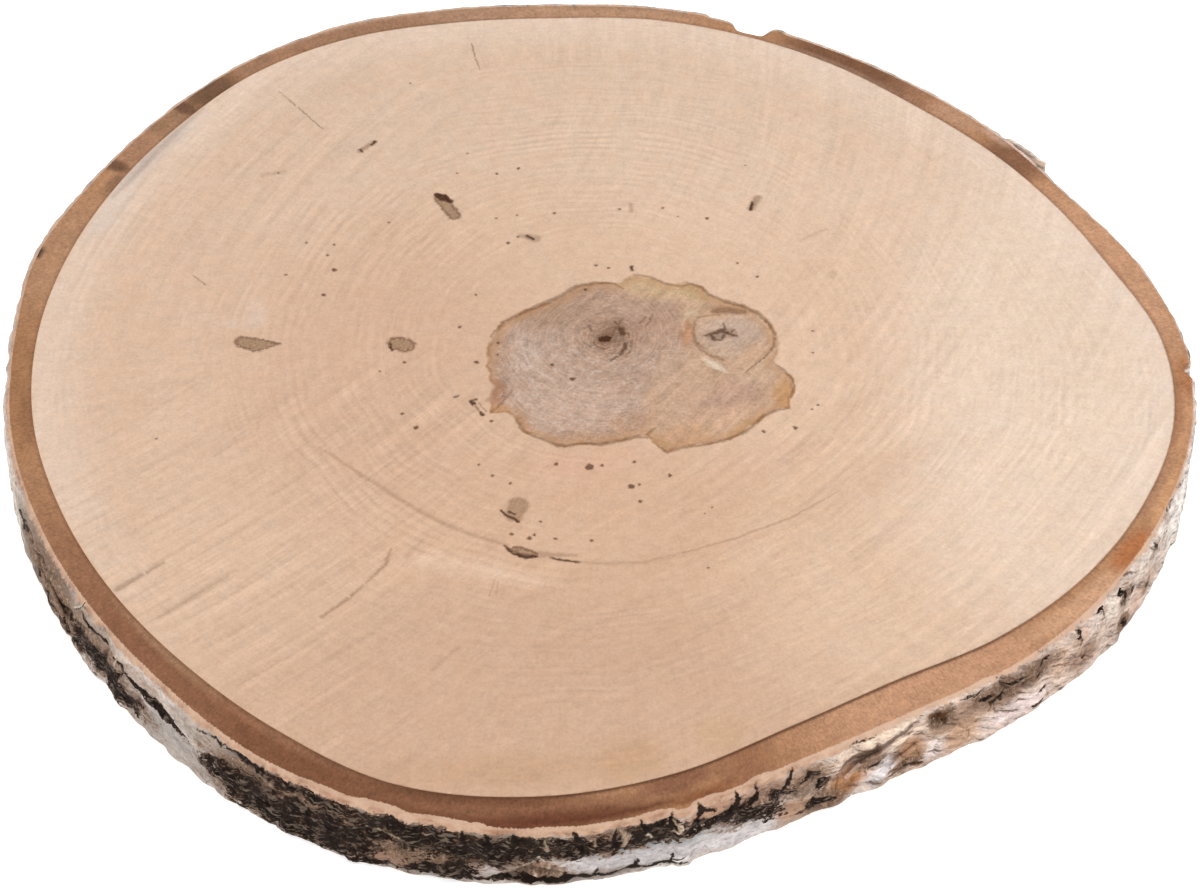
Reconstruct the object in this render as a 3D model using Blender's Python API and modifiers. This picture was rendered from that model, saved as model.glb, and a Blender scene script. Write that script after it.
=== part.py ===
"""A slice sawn across a birch trunk, lying flat with its bark on.

Wood, inner bark and outer bark grew as one body, so the slice is one solid. It is drawn about
its pith: a bearing is an angle in degrees, counter-clockwise from +X as seen from above, and a
radius is measured from the pith. The slice rests on z = 0. Names that end in _MM hold
millimetres, and everything else is in metres.
"""

import math

import bmesh
import bpy
from mathutils import Vector, noise

# The saw cut
THICKNESS_MM = 24.0
PITH_MM = (2.1, 15.4)

# Every 12 degrees: radius of the wood, depth of the sawn inner bark outside it, and depth of
# the rough outer bark outside that, at the foot of the wall
WOOD_RADII_MM = (
    183.0, 173.0, 167.5, 164.0, 162.0, 164.0, 166.5, 169.0, 170.0, 175.0,
    182.0, 185.5, 184.5, 184.5, 185.5, 187.0, 188.0, 188.0, 189.0, 191.0,
    195.0, 199.5, 195.5, 187.0, 176.5, 173.0, 178.0, 182.5, 185.5, 187.0,
)
INNER_BARK_MM = (
    6.3, 9.0, 6.3, 7.5, 8.0, 6.3, 6.0, 5.8, 6.5, 7.0,
    7.0, 6.2, 7.5, 8.2, 10.0, 7.0, 7.0, 7.5, 8.3, 9.3,
    11.0, 9.0, 12.0, 12.3, 12.5, 12.5, 11.0, 8.3, 6.2, 5.0,
)
OUTER_BARK_MM = (
    2.2, 1.8, 1.8, 2.4, 2.6, 3.2, 2.4, 2.0, 2.0, 2.0,
    2.2, 2.6, 2.4, 2.4, 2.0, 2.4, 3.2, 4.0, 4.6, 5.0,
    4.6, 4.2, 2.2, 2.8, 3.4, 4.0, 3.6, 4.2, 3.6, 2.4,
)

# Places where bark is torn away over the full height: bearing, half width in degrees, depth
TORN_PLACES = (
    (72.0, 2.2, 4.4),
    (76.0, 1.6, 1.0),
    (356.0, 0.9, 2.4),
    (276.5, 0.7, -1.2),
    (69.0, 1.0, -1.0),
)

# The corky outer bark, which is chipped off at a slant round the upper rim
CORK_DEPTH_MM = 2.2
CORK_DROP_FRONT_MM = 4.0
CORK_DROP_BACK_MM = 0.5
FOOT_CUT_MM = 0.7
FOOT_HEIGHT_MM = 0.9
RIM_CHIP_MM = 0.7

# Plates, lumps and cracks of the outer bark, deepest on the rough front
WALL_RADIUS_MM = 190.0
SMOOTH_BARK = 0.25
PLATE_SIZE_MM = (11.0, 7.0)
PLATE_HEIGHT_MM = 2.0
LUMP_SIZE_MM = (6.0, 4.0)
LUMP_HEIGHT_MM = 0.9
CRACK_DEPTH_MM = 2.0
CRACK_WIDTH = 0.28

# Loose strips of peeling bark: bearing and height of the root, bearing and height of the tip,
# strip width, lift of the tip
PEELS = (
    (40.0, 19.0, 30.8, 19.2, 9.0, 4.0),
    (303.5, 19.5, 291.5, 13.5, 5.0, 1.8),
    (304.0, 14.5, 296.5, 9.0, 3.6, 1.6),
    (63.5, 19.0, 69.6, 20.0, 7.0, 1.6),
    (207.0, 10.0, 215.0, 12.0, 5.0, 2.6),
    (100.0, 13.0, 108.5, 14.5, 10.0, 3.4),
    (146.0, 10.5, 138.5, 9.5, 7.0, 2.6),
    (9.0, 9.0, 15.5, 10.5, 6.5, 2.2),
)
PEEL_ROOT_MM = 1.8
PEEL_THICKNESS_MM = 1.0
PEEL_STEPS = 8
PEEL_TIP_WIDTH = 0.45

# Mesh resolution: columns stand closer together on the rough front, in bands up the wall
COLUMNS = 360
FRONT_CROWDING = 0.35
WALL_BANDS = 9
CORK_BANDS = 3

MM = 0.001


def ring_value(values, bearing):
    """Read evenly spaced values round the pith as one smooth closed curve."""
    place = (bearing % 360.0) / 360.0 * len(values)
    first = int(place)
    step = place - first
    before, start, end, after = (values[(first + k) % len(values)] for k in (-1, 0, 1, 2))
    slope = end - before
    bend = 2.0 * before - 5.0 * start + 4.0 * end - after
    twist = 3.0 * (start - end) + after - before
    return start + 0.5 * step * (slope + step * (bend + step * twist))


def turn_between(bearing, other):
    """Smallest angle between two bearings, in degrees."""
    return abs((bearing - other + 180.0) % 360.0 - 180.0)


def on_cylinder(bearing, height_mm, size_mm, shift=0.0):
    """Place in noise space, so that the bark pattern closes round the trunk."""
    angle = math.radians(bearing)
    across, up = size_mm
    reach = WALL_RADIUS_MM / across
    return Vector((math.cos(angle) * reach, math.sin(angle) * reach, height_mm / up + shift))


def front(bearing):
    """1 on the rough front of the bark, 0 at the back."""
    return 0.5 - 0.5 * math.sin(math.radians(bearing))


def torn_mm(bearing):
    """Depth of bark missing at a bearing, negative where a scrap stands proud."""
    depth = 0.0
    for centre, half_width, missing in TORN_PLACES:
        depth += missing / (1.0 + (turn_between(bearing, centre) / half_width) ** 8)
    return depth


def wood_radius_mm(bearing):
    return ring_value(WOOD_RADII_MM, bearing)


def rim_radius_mm(bearing):
    """Outer edge of the flat sawn face, where the inner bark ends in small chips."""
    chips = noise.noise(on_cylinder(bearing, 0.0, LUMP_SIZE_MM, shift=40.0))
    chips *= RIM_CHIP_MM * (SMOOTH_BARK + front(bearing))
    inner_bark = ring_value(INNER_BARK_MM, bearing) - torn_mm(bearing)
    return wood_radius_mm(bearing) + inner_bark + chips


def bark_left(bearing):
    """Share of the outer bark that is still there: less than 1 only where bark is torn away."""
    return 1.0 - max(torn_mm(bearing), 0.0) / 6.0


def cork_drop_mm(bearing):
    """Height of the slanted, chipped edge: tall at the front, almost nothing at the back."""
    return CORK_DROP_BACK_MM + (CORK_DROP_FRONT_MM - CORK_DROP_BACK_MM) * front(bearing)


def relief_mm(bearing, height_mm):
    """Height of plates and lumps, less the depth of the cracks between the plates."""
    rough = SMOOTH_BARK + (1.0 - SMOOTH_BARK) * front(bearing)
    distances, centres = noise.voronoi(on_cylinder(bearing, height_mm, PLATE_SIZE_MM))
    level = noise.noise(centres[0] * 1.7)
    crack = max(0.0, 1.0 - (distances[1] - distances[0]) / CRACK_WIDTH)
    lumps = noise.noise(on_cylinder(bearing, height_mm, LUMP_SIZE_MM, shift=10.0))
    raised = PLATE_HEIGHT_MM * level + LUMP_HEIGHT_MM * lumps
    return rough * (raised - CRACK_DEPTH_MM * crack)


def bark_depth_mm(bearing, height_mm):
    """Mean depth of the outer bark: a slanted cork edge above, and a slight spread below it."""
    drop = cork_drop_mm(bearing)
    spread = ring_value(OUTER_BARK_MM, bearing) - CORK_DEPTH_MM
    slant = max(0.0, 1.0 - (THICKNESS_MM - height_mm) / drop)
    lower = min(1.0, (THICKNESS_MM - height_mm) / THICKNESS_MM)
    foot_cut = FOOT_CUT_MM * max(0.0, 1.0 - height_mm / FOOT_HEIGHT_MM)
    depth = CORK_DEPTH_MM * (1.0 - slant ** 1.5) + spread * lower ** 0.7 - foot_cut
    return depth * bark_left(bearing)


def wall_mm(bearing, height_mm):
    """Radius of the bark's outside at a height between the two sawn faces."""
    foot = min(height_mm / FOOT_HEIGHT_MM, 1.0)
    slant = max(0.0, 1.0 - (THICKNESS_MM - height_mm) / cork_drop_mm(bearing))
    fade = (0.4 + 0.6 * foot) * (1.0 - slant) ** 0.7
    radius = rim_radius_mm(bearing) + bark_depth_mm(bearing, height_mm)
    return radius + fade * relief_mm(bearing, height_mm)


def band_height_mm(bearing, band):
    """Height of a line of vertices: the foot, even steps up the wall, then the slanted edge."""
    drop = cork_drop_mm(bearing)
    wall_top = THICKNESS_MM - drop
    if band == 0:
        return 0.0
    if band <= WALL_BANDS:
        share = (band - 1) / (WALL_BANDS - 1)
        return FOOT_HEIGHT_MM + share * (wall_top - FOOT_HEIGHT_MM)
    return wall_top + drop * (band - WALL_BANDS) / CORK_BANDS


def place(bearing, radius_mm, height_mm):
    angle = math.radians(bearing)
    x = PITH_MM[0] + radius_mm * math.cos(angle)
    y = PITH_MM[1] + radius_mm * math.sin(angle)
    return Vector((x, y, height_mm)) * MM


def make_material(name, colour, roughness):
    material = bpy.data.materials.new(name)
    material.use_nodes = True
    shader = material.node_tree.nodes["Principled BSDF"]
    shader.inputs["Base Color"].default_value = (*colour, 1.0)
    shader.inputs["Roughness"].default_value = roughness
    shader.inputs["Metallic"].default_value = 0.0
    material.diffuse_color = (*colour, 1.0)
    return material


def make_slice(name, materials):
    """Start from a unit drum, cut its side into bands and move every vertex by the formulas."""
    shape = bmesh.new()
    bmesh.ops.create_cone(
        shape, segments=COLUMNS, radius1=1.0, radius2=1.0, depth=1.0, cap_ends=True
    )
    caps = [face for face in shape.faces if len(face.verts) == COLUMNS]
    uprights = [edge for edge in shape.edges if abs(edge.verts[0].co.z - edge.verts[1].co.z) > 0.5]
    bands = WALL_BANDS + CORK_BANDS
    bmesh.ops.subdivide_edges(shape, edges=uprights, cuts=bands - 1)
    bmesh.ops.inset_individual(shape, faces=caps, thickness=0.1)

    wood_slot, inner_slot, outer_slot = range(3)
    for face in shape.faces:
        reach = max(vertex.co.to_2d().length for vertex in face.verts)
        flat = abs(face.normal.z) > 0.5
        face.material_index = outer_slot
        if flat:
            face.material_index = wood_slot if reach < 0.95 else inner_slot

    for vertex in shape.verts:
        drum_angle = math.atan2(vertex.co.y, vertex.co.x)
        bearing = math.degrees(drum_angle - FRONT_CROWDING * math.cos(drum_angle))
        band = round((vertex.co.z + 0.5) * bands)
        height_mm = band_height_mm(bearing, band)
        if vertex.co.to_2d().length < 0.95:
            radius_mm = wood_radius_mm(bearing)
        else:
            radius_mm = wall_mm(bearing, height_mm)
        vertex.co = place(bearing, radius_mm, height_mm)

    mesh = bpy.data.meshes.new(name)
    shape.to_mesh(mesh)
    shape.free()
    for material in materials:
        mesh.materials.append(material)
    return bpy.data.objects.new(name, mesh)


def make_peel(name, peel, material):
    """One strip of bark: rooted in the wall, lifting off it and narrowing towards its tip."""
    root_bearing, root_height, tip_bearing, tip_height, width, lift = peel
    shape = bmesh.new()
    bmesh.ops.create_grid(shape, x_segments=PEEL_STEPS, y_segments=2, size=0.5)
    for vertex in shape.verts:
        along = vertex.co.x + 0.5
        bearing = root_bearing + along * (tip_bearing - root_bearing)
        centre_mm = root_height + along * (tip_height - root_height)
        narrowing = 1.0 - (1.0 - PEEL_TIP_WIDTH) * along ** 2
        height_mm = centre_mm + vertex.co.y * width * narrowing
        wall = rim_radius_mm(bearing) + bark_depth_mm(bearing, centre_mm)
        standing_mm = -PEEL_ROOT_MM + (PEEL_ROOT_MM + lift) * along ** 1.3
        vertex.co = place(bearing, wall + standing_mm, height_mm)
    mesh = bpy.data.meshes.new(name)
    shape.to_mesh(mesh)
    shape.free()
    for _ in range(2):
        mesh.materials.append(material)
    peel_object = bpy.data.objects.new(name, mesh)
    thickness = peel_object.modifiers.new("thickness", "SOLIDIFY")
    thickness.thickness = PEEL_THICKNESS_MM * MM
    thickness.offset = 0.0
    return peel_object


def fuse(target, collection):
    """Join every object of a collection into the target, then remove those objects."""
    union = target.modifiers.new("fuse", "BOOLEAN")
    union.operation = "UNION"
    union.solver = "EXACT"
    union.operand_type = "COLLECTION"
    union.collection = collection
    bpy.context.view_layer.update()
    evaluated = target.evaluated_get(bpy.context.evaluated_depsgraph_get())
    joined = bpy.data.meshes.new_from_object(evaluated)
    target.modifiers.remove(union)
    target.data = joined
    for piece in list(collection.objects):
        bpy.data.objects.remove(piece)
    bpy.data.collections.remove(collection)


def main():
    for leftover in list(bpy.data.objects):
        bpy.data.objects.remove(leftover)
    part = bpy.data.collections.new("birch_slice")
    peels = bpy.data.collections.new("peels")
    bpy.context.scene.collection.children.link(part)
    bpy.context.scene.collection.children.link(peels)

    wood = make_material("wood", (0.70, 0.52, 0.37), 0.7)
    inner_bark = make_material("inner_bark", (0.36, 0.18, 0.09), 0.8)
    outer_bark = make_material("outer_bark", (0.33, 0.28, 0.24), 0.85)

    birch_slice = make_slice("birch_slice", (wood, inner_bark, outer_bark))
    part.objects.link(birch_slice)
    for number, peel in enumerate(PEELS, start=1):
        peels.objects.link(make_peel(f"peel_{number}", peel, outer_bark))
    fuse(birch_slice, peels)

    birch_slice.data.shade_smooth()
    birch_slice.data.set_sharp_from_angle(angle=math.radians(40.0))


main()
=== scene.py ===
"""The looks of a slice sawn across a birch trunk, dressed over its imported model.

Places on the slice are given as in the part's own source. A bearing is an angle in degrees about
the pith, counter-clockwise from +X as seen from above, and a radius is measured from the pith.
Places on the sawn faces are x and y from the pith. Names that end in _MM hold millimetres, and
so do the lists of marks, patches and outlines, apart from their angles in degrees. Colours are
(red, green, blue) from 0 to 255, and srgb() turns them into what the materials need.
"""

import math
import random

import bpy
import numpy as np
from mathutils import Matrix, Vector, noise


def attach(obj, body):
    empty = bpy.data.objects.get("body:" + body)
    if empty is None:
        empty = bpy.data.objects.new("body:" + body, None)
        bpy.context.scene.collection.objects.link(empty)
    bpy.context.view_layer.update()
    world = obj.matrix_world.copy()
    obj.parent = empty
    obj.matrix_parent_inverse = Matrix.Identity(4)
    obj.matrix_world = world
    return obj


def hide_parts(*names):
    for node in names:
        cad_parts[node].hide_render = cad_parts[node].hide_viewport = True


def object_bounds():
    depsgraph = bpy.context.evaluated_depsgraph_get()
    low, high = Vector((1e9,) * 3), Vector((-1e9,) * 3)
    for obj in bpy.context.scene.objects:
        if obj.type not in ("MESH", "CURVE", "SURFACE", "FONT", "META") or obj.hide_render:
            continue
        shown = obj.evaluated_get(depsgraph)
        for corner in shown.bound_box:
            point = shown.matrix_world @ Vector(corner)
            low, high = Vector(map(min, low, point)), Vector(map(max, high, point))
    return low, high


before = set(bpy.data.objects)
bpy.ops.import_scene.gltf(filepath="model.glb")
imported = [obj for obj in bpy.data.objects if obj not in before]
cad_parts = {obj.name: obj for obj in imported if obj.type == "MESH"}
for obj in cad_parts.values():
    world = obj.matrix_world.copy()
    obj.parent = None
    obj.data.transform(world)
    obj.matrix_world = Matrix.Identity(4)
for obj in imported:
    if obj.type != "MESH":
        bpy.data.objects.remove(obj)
cad_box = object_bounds()

MM = 0.001

# The form of the slice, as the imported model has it
THICKNESS_MM = 24.0
PITH_MM = (2.1, 15.4)
WOOD_RADII_MM = (
    183.0, 173.0, 167.5, 164.0, 162.0, 164.0, 166.5, 169.0, 170.0, 175.0,
    182.0, 185.5, 184.5, 184.5, 185.5, 187.0, 188.0, 188.0, 189.0, 191.0,
    195.0, 199.5, 195.5, 187.0, 176.5, 173.0, 178.0, 182.5, 185.5, 187.0,
)
INNER_BARK_MM = (
    6.3, 9.0, 6.3, 7.5, 8.0, 6.3, 6.0, 5.8, 6.5, 7.0,
    7.0, 6.2, 7.5, 8.2, 10.0, 7.0, 7.0, 7.5, 8.3, 9.3,
    11.0, 9.0, 12.0, 12.3, 12.5, 12.5, 11.0, 8.3, 6.2, 5.0,
)
OUTER_BARK_MM = (
    2.2, 1.8, 1.8, 2.4, 2.6, 3.2, 2.4, 2.0, 2.0, 2.0,
    2.2, 2.6, 2.4, 2.4, 2.0, 2.4, 3.2, 4.0, 4.6, 5.0,
    4.6, 4.2, 2.2, 2.8, 3.4, 4.0, 3.6, 4.2, 3.6, 2.4,
)
# Where bark is missing, or a scrap stands proud: bearing, half width in degrees, depth
TORN_PLACES = (
    (72.0, 2.2, 4.4),
    (76.0, 1.6, 1.0),
    (356.0, 0.9, 2.4),
    (276.5, 0.7, -1.2),
    (69.0, 1.0, -1.0),
)
# Where this much is missing, no outer bark is left
BARE_FROM_MM = 6.0
CORK_DEPTH_MM = 2.2
CORK_DROP_FRONT_MM = 4.0
CORK_DROP_BACK_MM = 0.5
FOOT_CUT_MM = 0.7
FOOT_HEIGHT_MM = 0.9
# How the cork edge rounds off, and how the wall spreads below it
CORK_POWER = 1.5
SPREAD_POWER = 0.7
RIM_CHIP_MM = 0.7
WALL_RADIUS_MM = 190.0
SMOOTH_BARK = 0.25
PLATE_SIZE_MM = (11.0, 7.0)
PLATE_HEIGHT_MM = 2.0
PLATE_LEVELS = 1.7
LUMP_SIZE_MM = (6.0, 4.0)
LUMP_HEIGHT_MM = 0.9
CRACK_DEPTH_MM = 2.0
CRACK_WIDTH = 0.28
# Layers of noise space, so that no pattern repeats another
LUMP_LAYER = 10.0
CHIP_LAYER = 40.0
CRUST_LAYER = 70.0
FIBRE_LAYER = 5.0
PEEL_LAYER = 5.0
# Loose strips: bearing and height of the root and of the tip, width, lift of the tip
PEELS = (
    (40.0, 19.0, 30.8, 19.2, 9.0, 4.0),
    (303.5, 19.5, 291.5, 13.5, 5.0, 1.8),
    (304.0, 14.5, 296.5, 9.0, 3.6, 1.6),
    (63.5, 19.0, 69.6, 20.0, 7.0, 1.6),
    (207.0, 10.0, 215.0, 12.0, 5.0, 2.6),
    (100.0, 13.0, 108.5, 14.5, 10.0, 3.4),
    (146.0, 10.5, 138.5, 9.5, 7.0, 2.6),
    (9.0, 9.0, 15.5, 10.5, 6.5, 2.2),
)
# Colours painted on those that stand off the rim, the rest is painted as the wall is
PEEL_COLOURS = {1: (226, 204, 186), 4: (214, 182, 158)}
PEEL_ROOT_MM = 1.8
PEEL_THICKNESS_MM = 0.8
PEEL_TIP_WIDTH = 0.45
# Tears along and across a strip, their share of its width, its wave, and how it curls away
PEEL_TEARS = (9.0, 3.0)
PEEL_TEAR_SHARE = 0.26
PEEL_WAVE_MM = 0.25
PEEL_CURL = 1.3

# Height of the sawn cork band below the rim, every 12 degrees from bearing 0
CORK_BAND_MM = (
    1.0, 0.8, 0.6, 0.5, 0.5, 0.5, 0.6, 0.6, 0.6, 0.6,
    0.6, 0.6, 0.6, 0.7, 0.9, 1.2, 1.5, 1.7, 1.6, 1.7,
    2.0, 2.4, 2.4, 2.6, 2.4, 1.6, 1.5, 1.5, 1.3, 1.2,
)
# How far the brown of the inner bark runs past the rim, every 12 degrees from bearing 0
BROWN_REACH_MM = (
    1.1, 0.6, 0.3, 0.3, 0.4, 0.6, 0.4, 0.4, 0.5, 0.5,
    0.5, 0.4, 0.2, 0.2, 0.2, 0.2, 0.4, 0.5, 0.2, 0.1,
    0.0, 0.0, 0.0, 0.0, 0.0, 0.2, 0.2, 0.2, 0.6, 1.1,
)

# Where bark is missing, the brown shrinks by this much for each millimetre down the wall
BROWN_FADE = 0.35

# Camera, 45 degrees above the table and square to the front: its distance in metres, and its lens
# and sensor in millimetres
CAMERA_DISTANCE = 1.150
CAMERA_ELEVATION = math.radians(45.0)
CAMERA_AIM_MM = (0.454, -33.94, 24.0)
LENS_LENGTH = 108.0
SENSOR_WIDTH = 36.0

# The studio light makes a surface brighter than its own colour by 1 / LIT_SHARE
LIT_SHARE = 0.80

# The upright bark gets a little less of that light than the sawn faces, so its colours are painted
# a little brighter to make up for that shade
WALL_LIT_SHARE = 0.84

# Lights, from above and from the front: name, place in metres, power in watts
LIGHTS = (
    ("key", (0.3, 0.2, 2.0), 10.0),
    ("fill", (-0.2, -1.6, 1.2), 9.0),
)
LIGHT_SIZE = 1.8
SKY_STRENGTH = 0.90

# The floor glows a little, as painted light though it is no lamp, so that the shadow on it stays
# faint
FLOOR_GLOW = 0.35
FLOOR_REACH = 4.0
FLOOR_ROUGHNESS = 0.9

# Finer relief that only the looks have: ridged crusts, and a nearly smooth skin between them.
# The plates keep this share of their height, and some more of it on a crust.
PLATE_SHARE = 0.4
CRUST_PLATE_SHARE = 0.3
CRUST_HEIGHT_MM = 1.0
CRUST_SIZE_MM = (2.6, 3.6)
# Values of the crust field between which that relief comes in, later on a brown crust
CRUST_FADE = (-0.35, 0.35)
BROWN_CRUST_LESS = 0.2
# Height of a crest in shares of the crust's, and the finer ridges that run over it
RIDGE_LEVEL = 0.3
FINE_RIDGE = 2.3
FINE_RIDGE_SHARE = 0.5
# Share of relief left at the foot, and how it comes in below the rim
FOOT_RELIEF = 0.4
RELIEF_POWER = 0.7
SKIN_HEIGHT_MM = 0.2
SKIN_SIZE_MM = (9.0, 3.0)
# Fibres on the sawn inner bark
FIBRE_DEPTH_MM = 0.12
FIBRES_A_DEGREE = 3.2
FIBRE_LENGTH_MM = 2.0
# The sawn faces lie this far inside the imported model, with shallow dips
FACE_DEPTH_MM = 0.02
FACE_DIP_MM = 0.05
FACE_DIP_SIZE_MM = 30.0
# The wood reaches this far under the bark, so that no gap shows
JOINT_OVERLAP_MM = 0.5

# The mesh of the wood: columns round the pith, and rings that stand closer over the heart
FACE_COLUMNS = 720
HEART_REACH_MM = 66.0
HEART_RINGS = 62
OUTER_RINGS = 40
HALF_DEPTH_MM = 12.0

# The mesh of the bark: columns, which stand closer at the front, and bands in the order in which
# they run over the rim
BARK_COLUMNS = 2400
FRONT_CROWDING = 0.35
RIM_BANDS = 5
CORK_BANDS = 4
WALL_BANDS = 27
FOOT_BANDS = 2
UNDER_BANDS = 2
FIRST_WALL = RIM_BANDS
LAST_WALL = RIM_BANDS + CORK_BANDS + WALL_BANDS + FOOT_BANDS
PEEL_COLUMNS = 48
PEEL_LINES = 14

# The maps: the face with its margin, the side's band and the back's corner, and the bark's rows
UV_MARGIN = 1.04
UV_SIDE_BAND = 1.03
UV_BACK_MIDDLE = 0.065
UV_BACK_SIZE = 0.05
BARK_ROWS = 5
UV_SIDE_GAP = 0.004
UV_ROW_GAP = 0.012

# Soft noise on the sawn faces, in parts: size, layer of noise space, amount
RING_WARP = ((22.0, 7.3, 2.34), (6.0, 14.6, 0.54))
CLOUDS = ((40.0, 21.9, 1.08), (7.0, 29.2, 0.72))
RINGS_PATCHY = ((30.0, 36.5, 0.36),)
SAW_PATCHY = ((24.0, 43.8, 0.36),)

# Growth rings turn from a circle at the pith into the outline of the wood, found in a few steps
RING_SPACING_MM = 3.3
RING_AGE_STEPS = 12
RING_AGE_POWER = 1.6

# Where growth rings and saw marks show: bearing, half width, radii from and to, strength
RINGS_SEEN = (
    (92.0, 42.0, 62.0, 110.0, 0.85),
    (88.0, 28.0, 122.0, 142.0, 0.45),
    (222.0, 34.0, 62.0, 112.0, 0.8),
    (180.0, 30.0, 66.0, 120.0, 0.5),
    (138.0, 26.0, 62.0, 110.0, 0.8),
    (335.0, 45.0, 66.0, 150.0, 0.6),
    (270.0, 30.0, 120.0, 150.0, 0.5),
)
SAW_SEEN = (
    (222.0, 36.0, 56.0, 190.0, 1.3),
    (335.0, 60.0, 60.0, 180.0, 0.75),
    (145.0, 30.0, 80.0, 180.0, 0.8),
    (45.0, 40.0, 80.0, 180.0, 0.6),
    (270.0, 30.0, 60.0, 180.0, 0.35),
    (90.0, 30.0, 60.0, 180.0, 0.3),
)
# How far they fade in and out past those radii
SEEN_FADE_IN_MM = 12.0
SEEN_FADE_OUT_MM = 15.0

# Saw marks run as arcs about these three centres: x, y. The second and third family each fill a
# sector, given by its middle and half width, and the first one fills the rest.
SAW_CENTRES_MM = ((-174.0, 155.0), (-503.0, 378.0), (150.0, -50.0))
SAW_SECTORS = (222.0, 148.0)
SAW_SPREAD = 42.0
SAW_START_MM = (15.0, 60.0)

# Places on the heart stain's edge, clockwise from the top
HEART_OUTLINE = (
    (-2.5, 27), (5, 27), (9.2, 31.3), (15, 30), (20, 26.7), (27.5, 27.5), (32.5, 25), (34.2, 21.7),
    (39.2, 18.3), (45.8, 15.8), (50.8, 12.1), (54.2, 7.5), (56.3, 1.7), (57.5, -2.5), (57.1, -6.7),
    (55, -12.1), (58.3, -14.6), (61.3, -19.2), (61.7, -23.3), (60, -28.3), (59.6, -32.9),
    (55, -33.8), (50.8, -36.7), (48.3, -40), (45, -43.8), (40, -47.1), (31.7, -49.6), (23.3, -51.3),
    (19.6, -53.3), (16.7, -50), (14.2, -46.7), (10.8, -45.8), (5, -47.9), (-1.7, -49.4),
    (-8.3, -49.2), (-12.5, -50.7), (-16.7, -49.6), (-19.2, -47.5), (-23.3, -45.4), (-26.7, -43.3),
    (-28.3, -38.3), (-30.8, -35), (-36.7, -35), (-37.9, -28.8), (-36.3, -24.2), (-37.5, -19.2),
    (-38.8, -13.3), (-38.2, -4.2), (-36.7, 1.7), (-34.6, 5.8), (-31.7, 9.2), (-26.7, 13.3),
    (-18.3, 17.5), (-14.6, 20), (-10, 25), (-6.3, 26.3),
)
# The grey core inside it
CORE_OUTLINE = (
    (-6, 26.5), (0, 27), (5, 24), (10, 20), (17, 18.5), (22, 19), (26, 15), (25, 8), (26.5, 0),
    (27, -7), (23, -11), (18, -15), (14, -21), (12, -28), (13, -36), (11.5, -43), (8, -46),
    (-2, -48.5), (-12, -49.5), (-20, -46), (-25.5, -42), (-28.5, -37), (-33, -33), (-36, -27),
    (-36.5, -18), (-37.5, -8), (-36, 2), (-31, 9), (-23, 15), (-15, 19.5), (-10, 24.5),
)

# Marks on the upper face. Each is a look and the places that a stroke runs through: x, y, half
# width. The looks are in MARK_LOOKS.
FACE_DOTS = (
    (-101, 47, .4), (-91.5, 46, .55), (-93.5, 40.8, .45), (-90.8, 33.3, .85), (-107, 31, .45),
    (-93.8, 21, .85), (-73.5, 57.5, .4), (-47.8, 93.5, .35), (-30, 85.5, .55), (-37.3, 82.8, .6),
    (-51, 83, .35), (-17.3, 62.3, .6), (-30, 61, .35), (-37, 59.5, .4), (5, 64.3, .5),
    (19.8, 64.8, .45), (24.8, 60.5, .3), (34.8, 59.5, .65), (48.5, 87, .3),
    (-32.8, 47, .65), (-29.5, 50, .6), (-3, 35.7, .6), (1.3, 34.5, .45), (44.5, 36.8, .45),
    (51, 30, .55), (-6.5, 23.5, .7), (-33.7, 7.5, .7), (-48, 5.5, .6), (-42, -11.5, .75),
    (-17.3, -12.7, .65), (-10.5, -19.3, .85), (-35, -2.3, .6), (-35, -8, .55), (-43, 21, .55),
    (68.5, 3.4, .45), (68, -7, .4), (-65.5, -11.5, .55), (-73.5, -15.8, .4), (-65.3, -35.3, .7),
    (-60.8, -41.8, .85), (-143.5, -46.8, .4), (-36.5, -38.8, .6), (-40, -58.5, .4),
    (-35.7, -63.5, .55), (-30, -66.8, .5), (-15.5, -58.2, .7), (-5, -59.6, 1.35), (-1, -59, .65),
    (9.3, -57.3, .65), (20.5, -63.4, .7), (8.3, -68.3, 1.0), (10.7, -67.4, .5), (11, -74.8, .65),
    (-20.3, -83.5, .5), (-29.2, -89, .6), (-23.6, -90.5, .8), (-22, -89.4, .6),
    (-15.5, -91, .5), (-4.2, -91.8, .55), (33.5, -77.5, .35), (31.3, -80, .3),
    (31.8, -103.3, .4), (61, -42, .8), (51, -43.6, .6), (66.7, -33.5, .4),
    (68.8, -31.4, .4), (-112.8, 83, .4), (-69, 132, .4),
)
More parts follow.
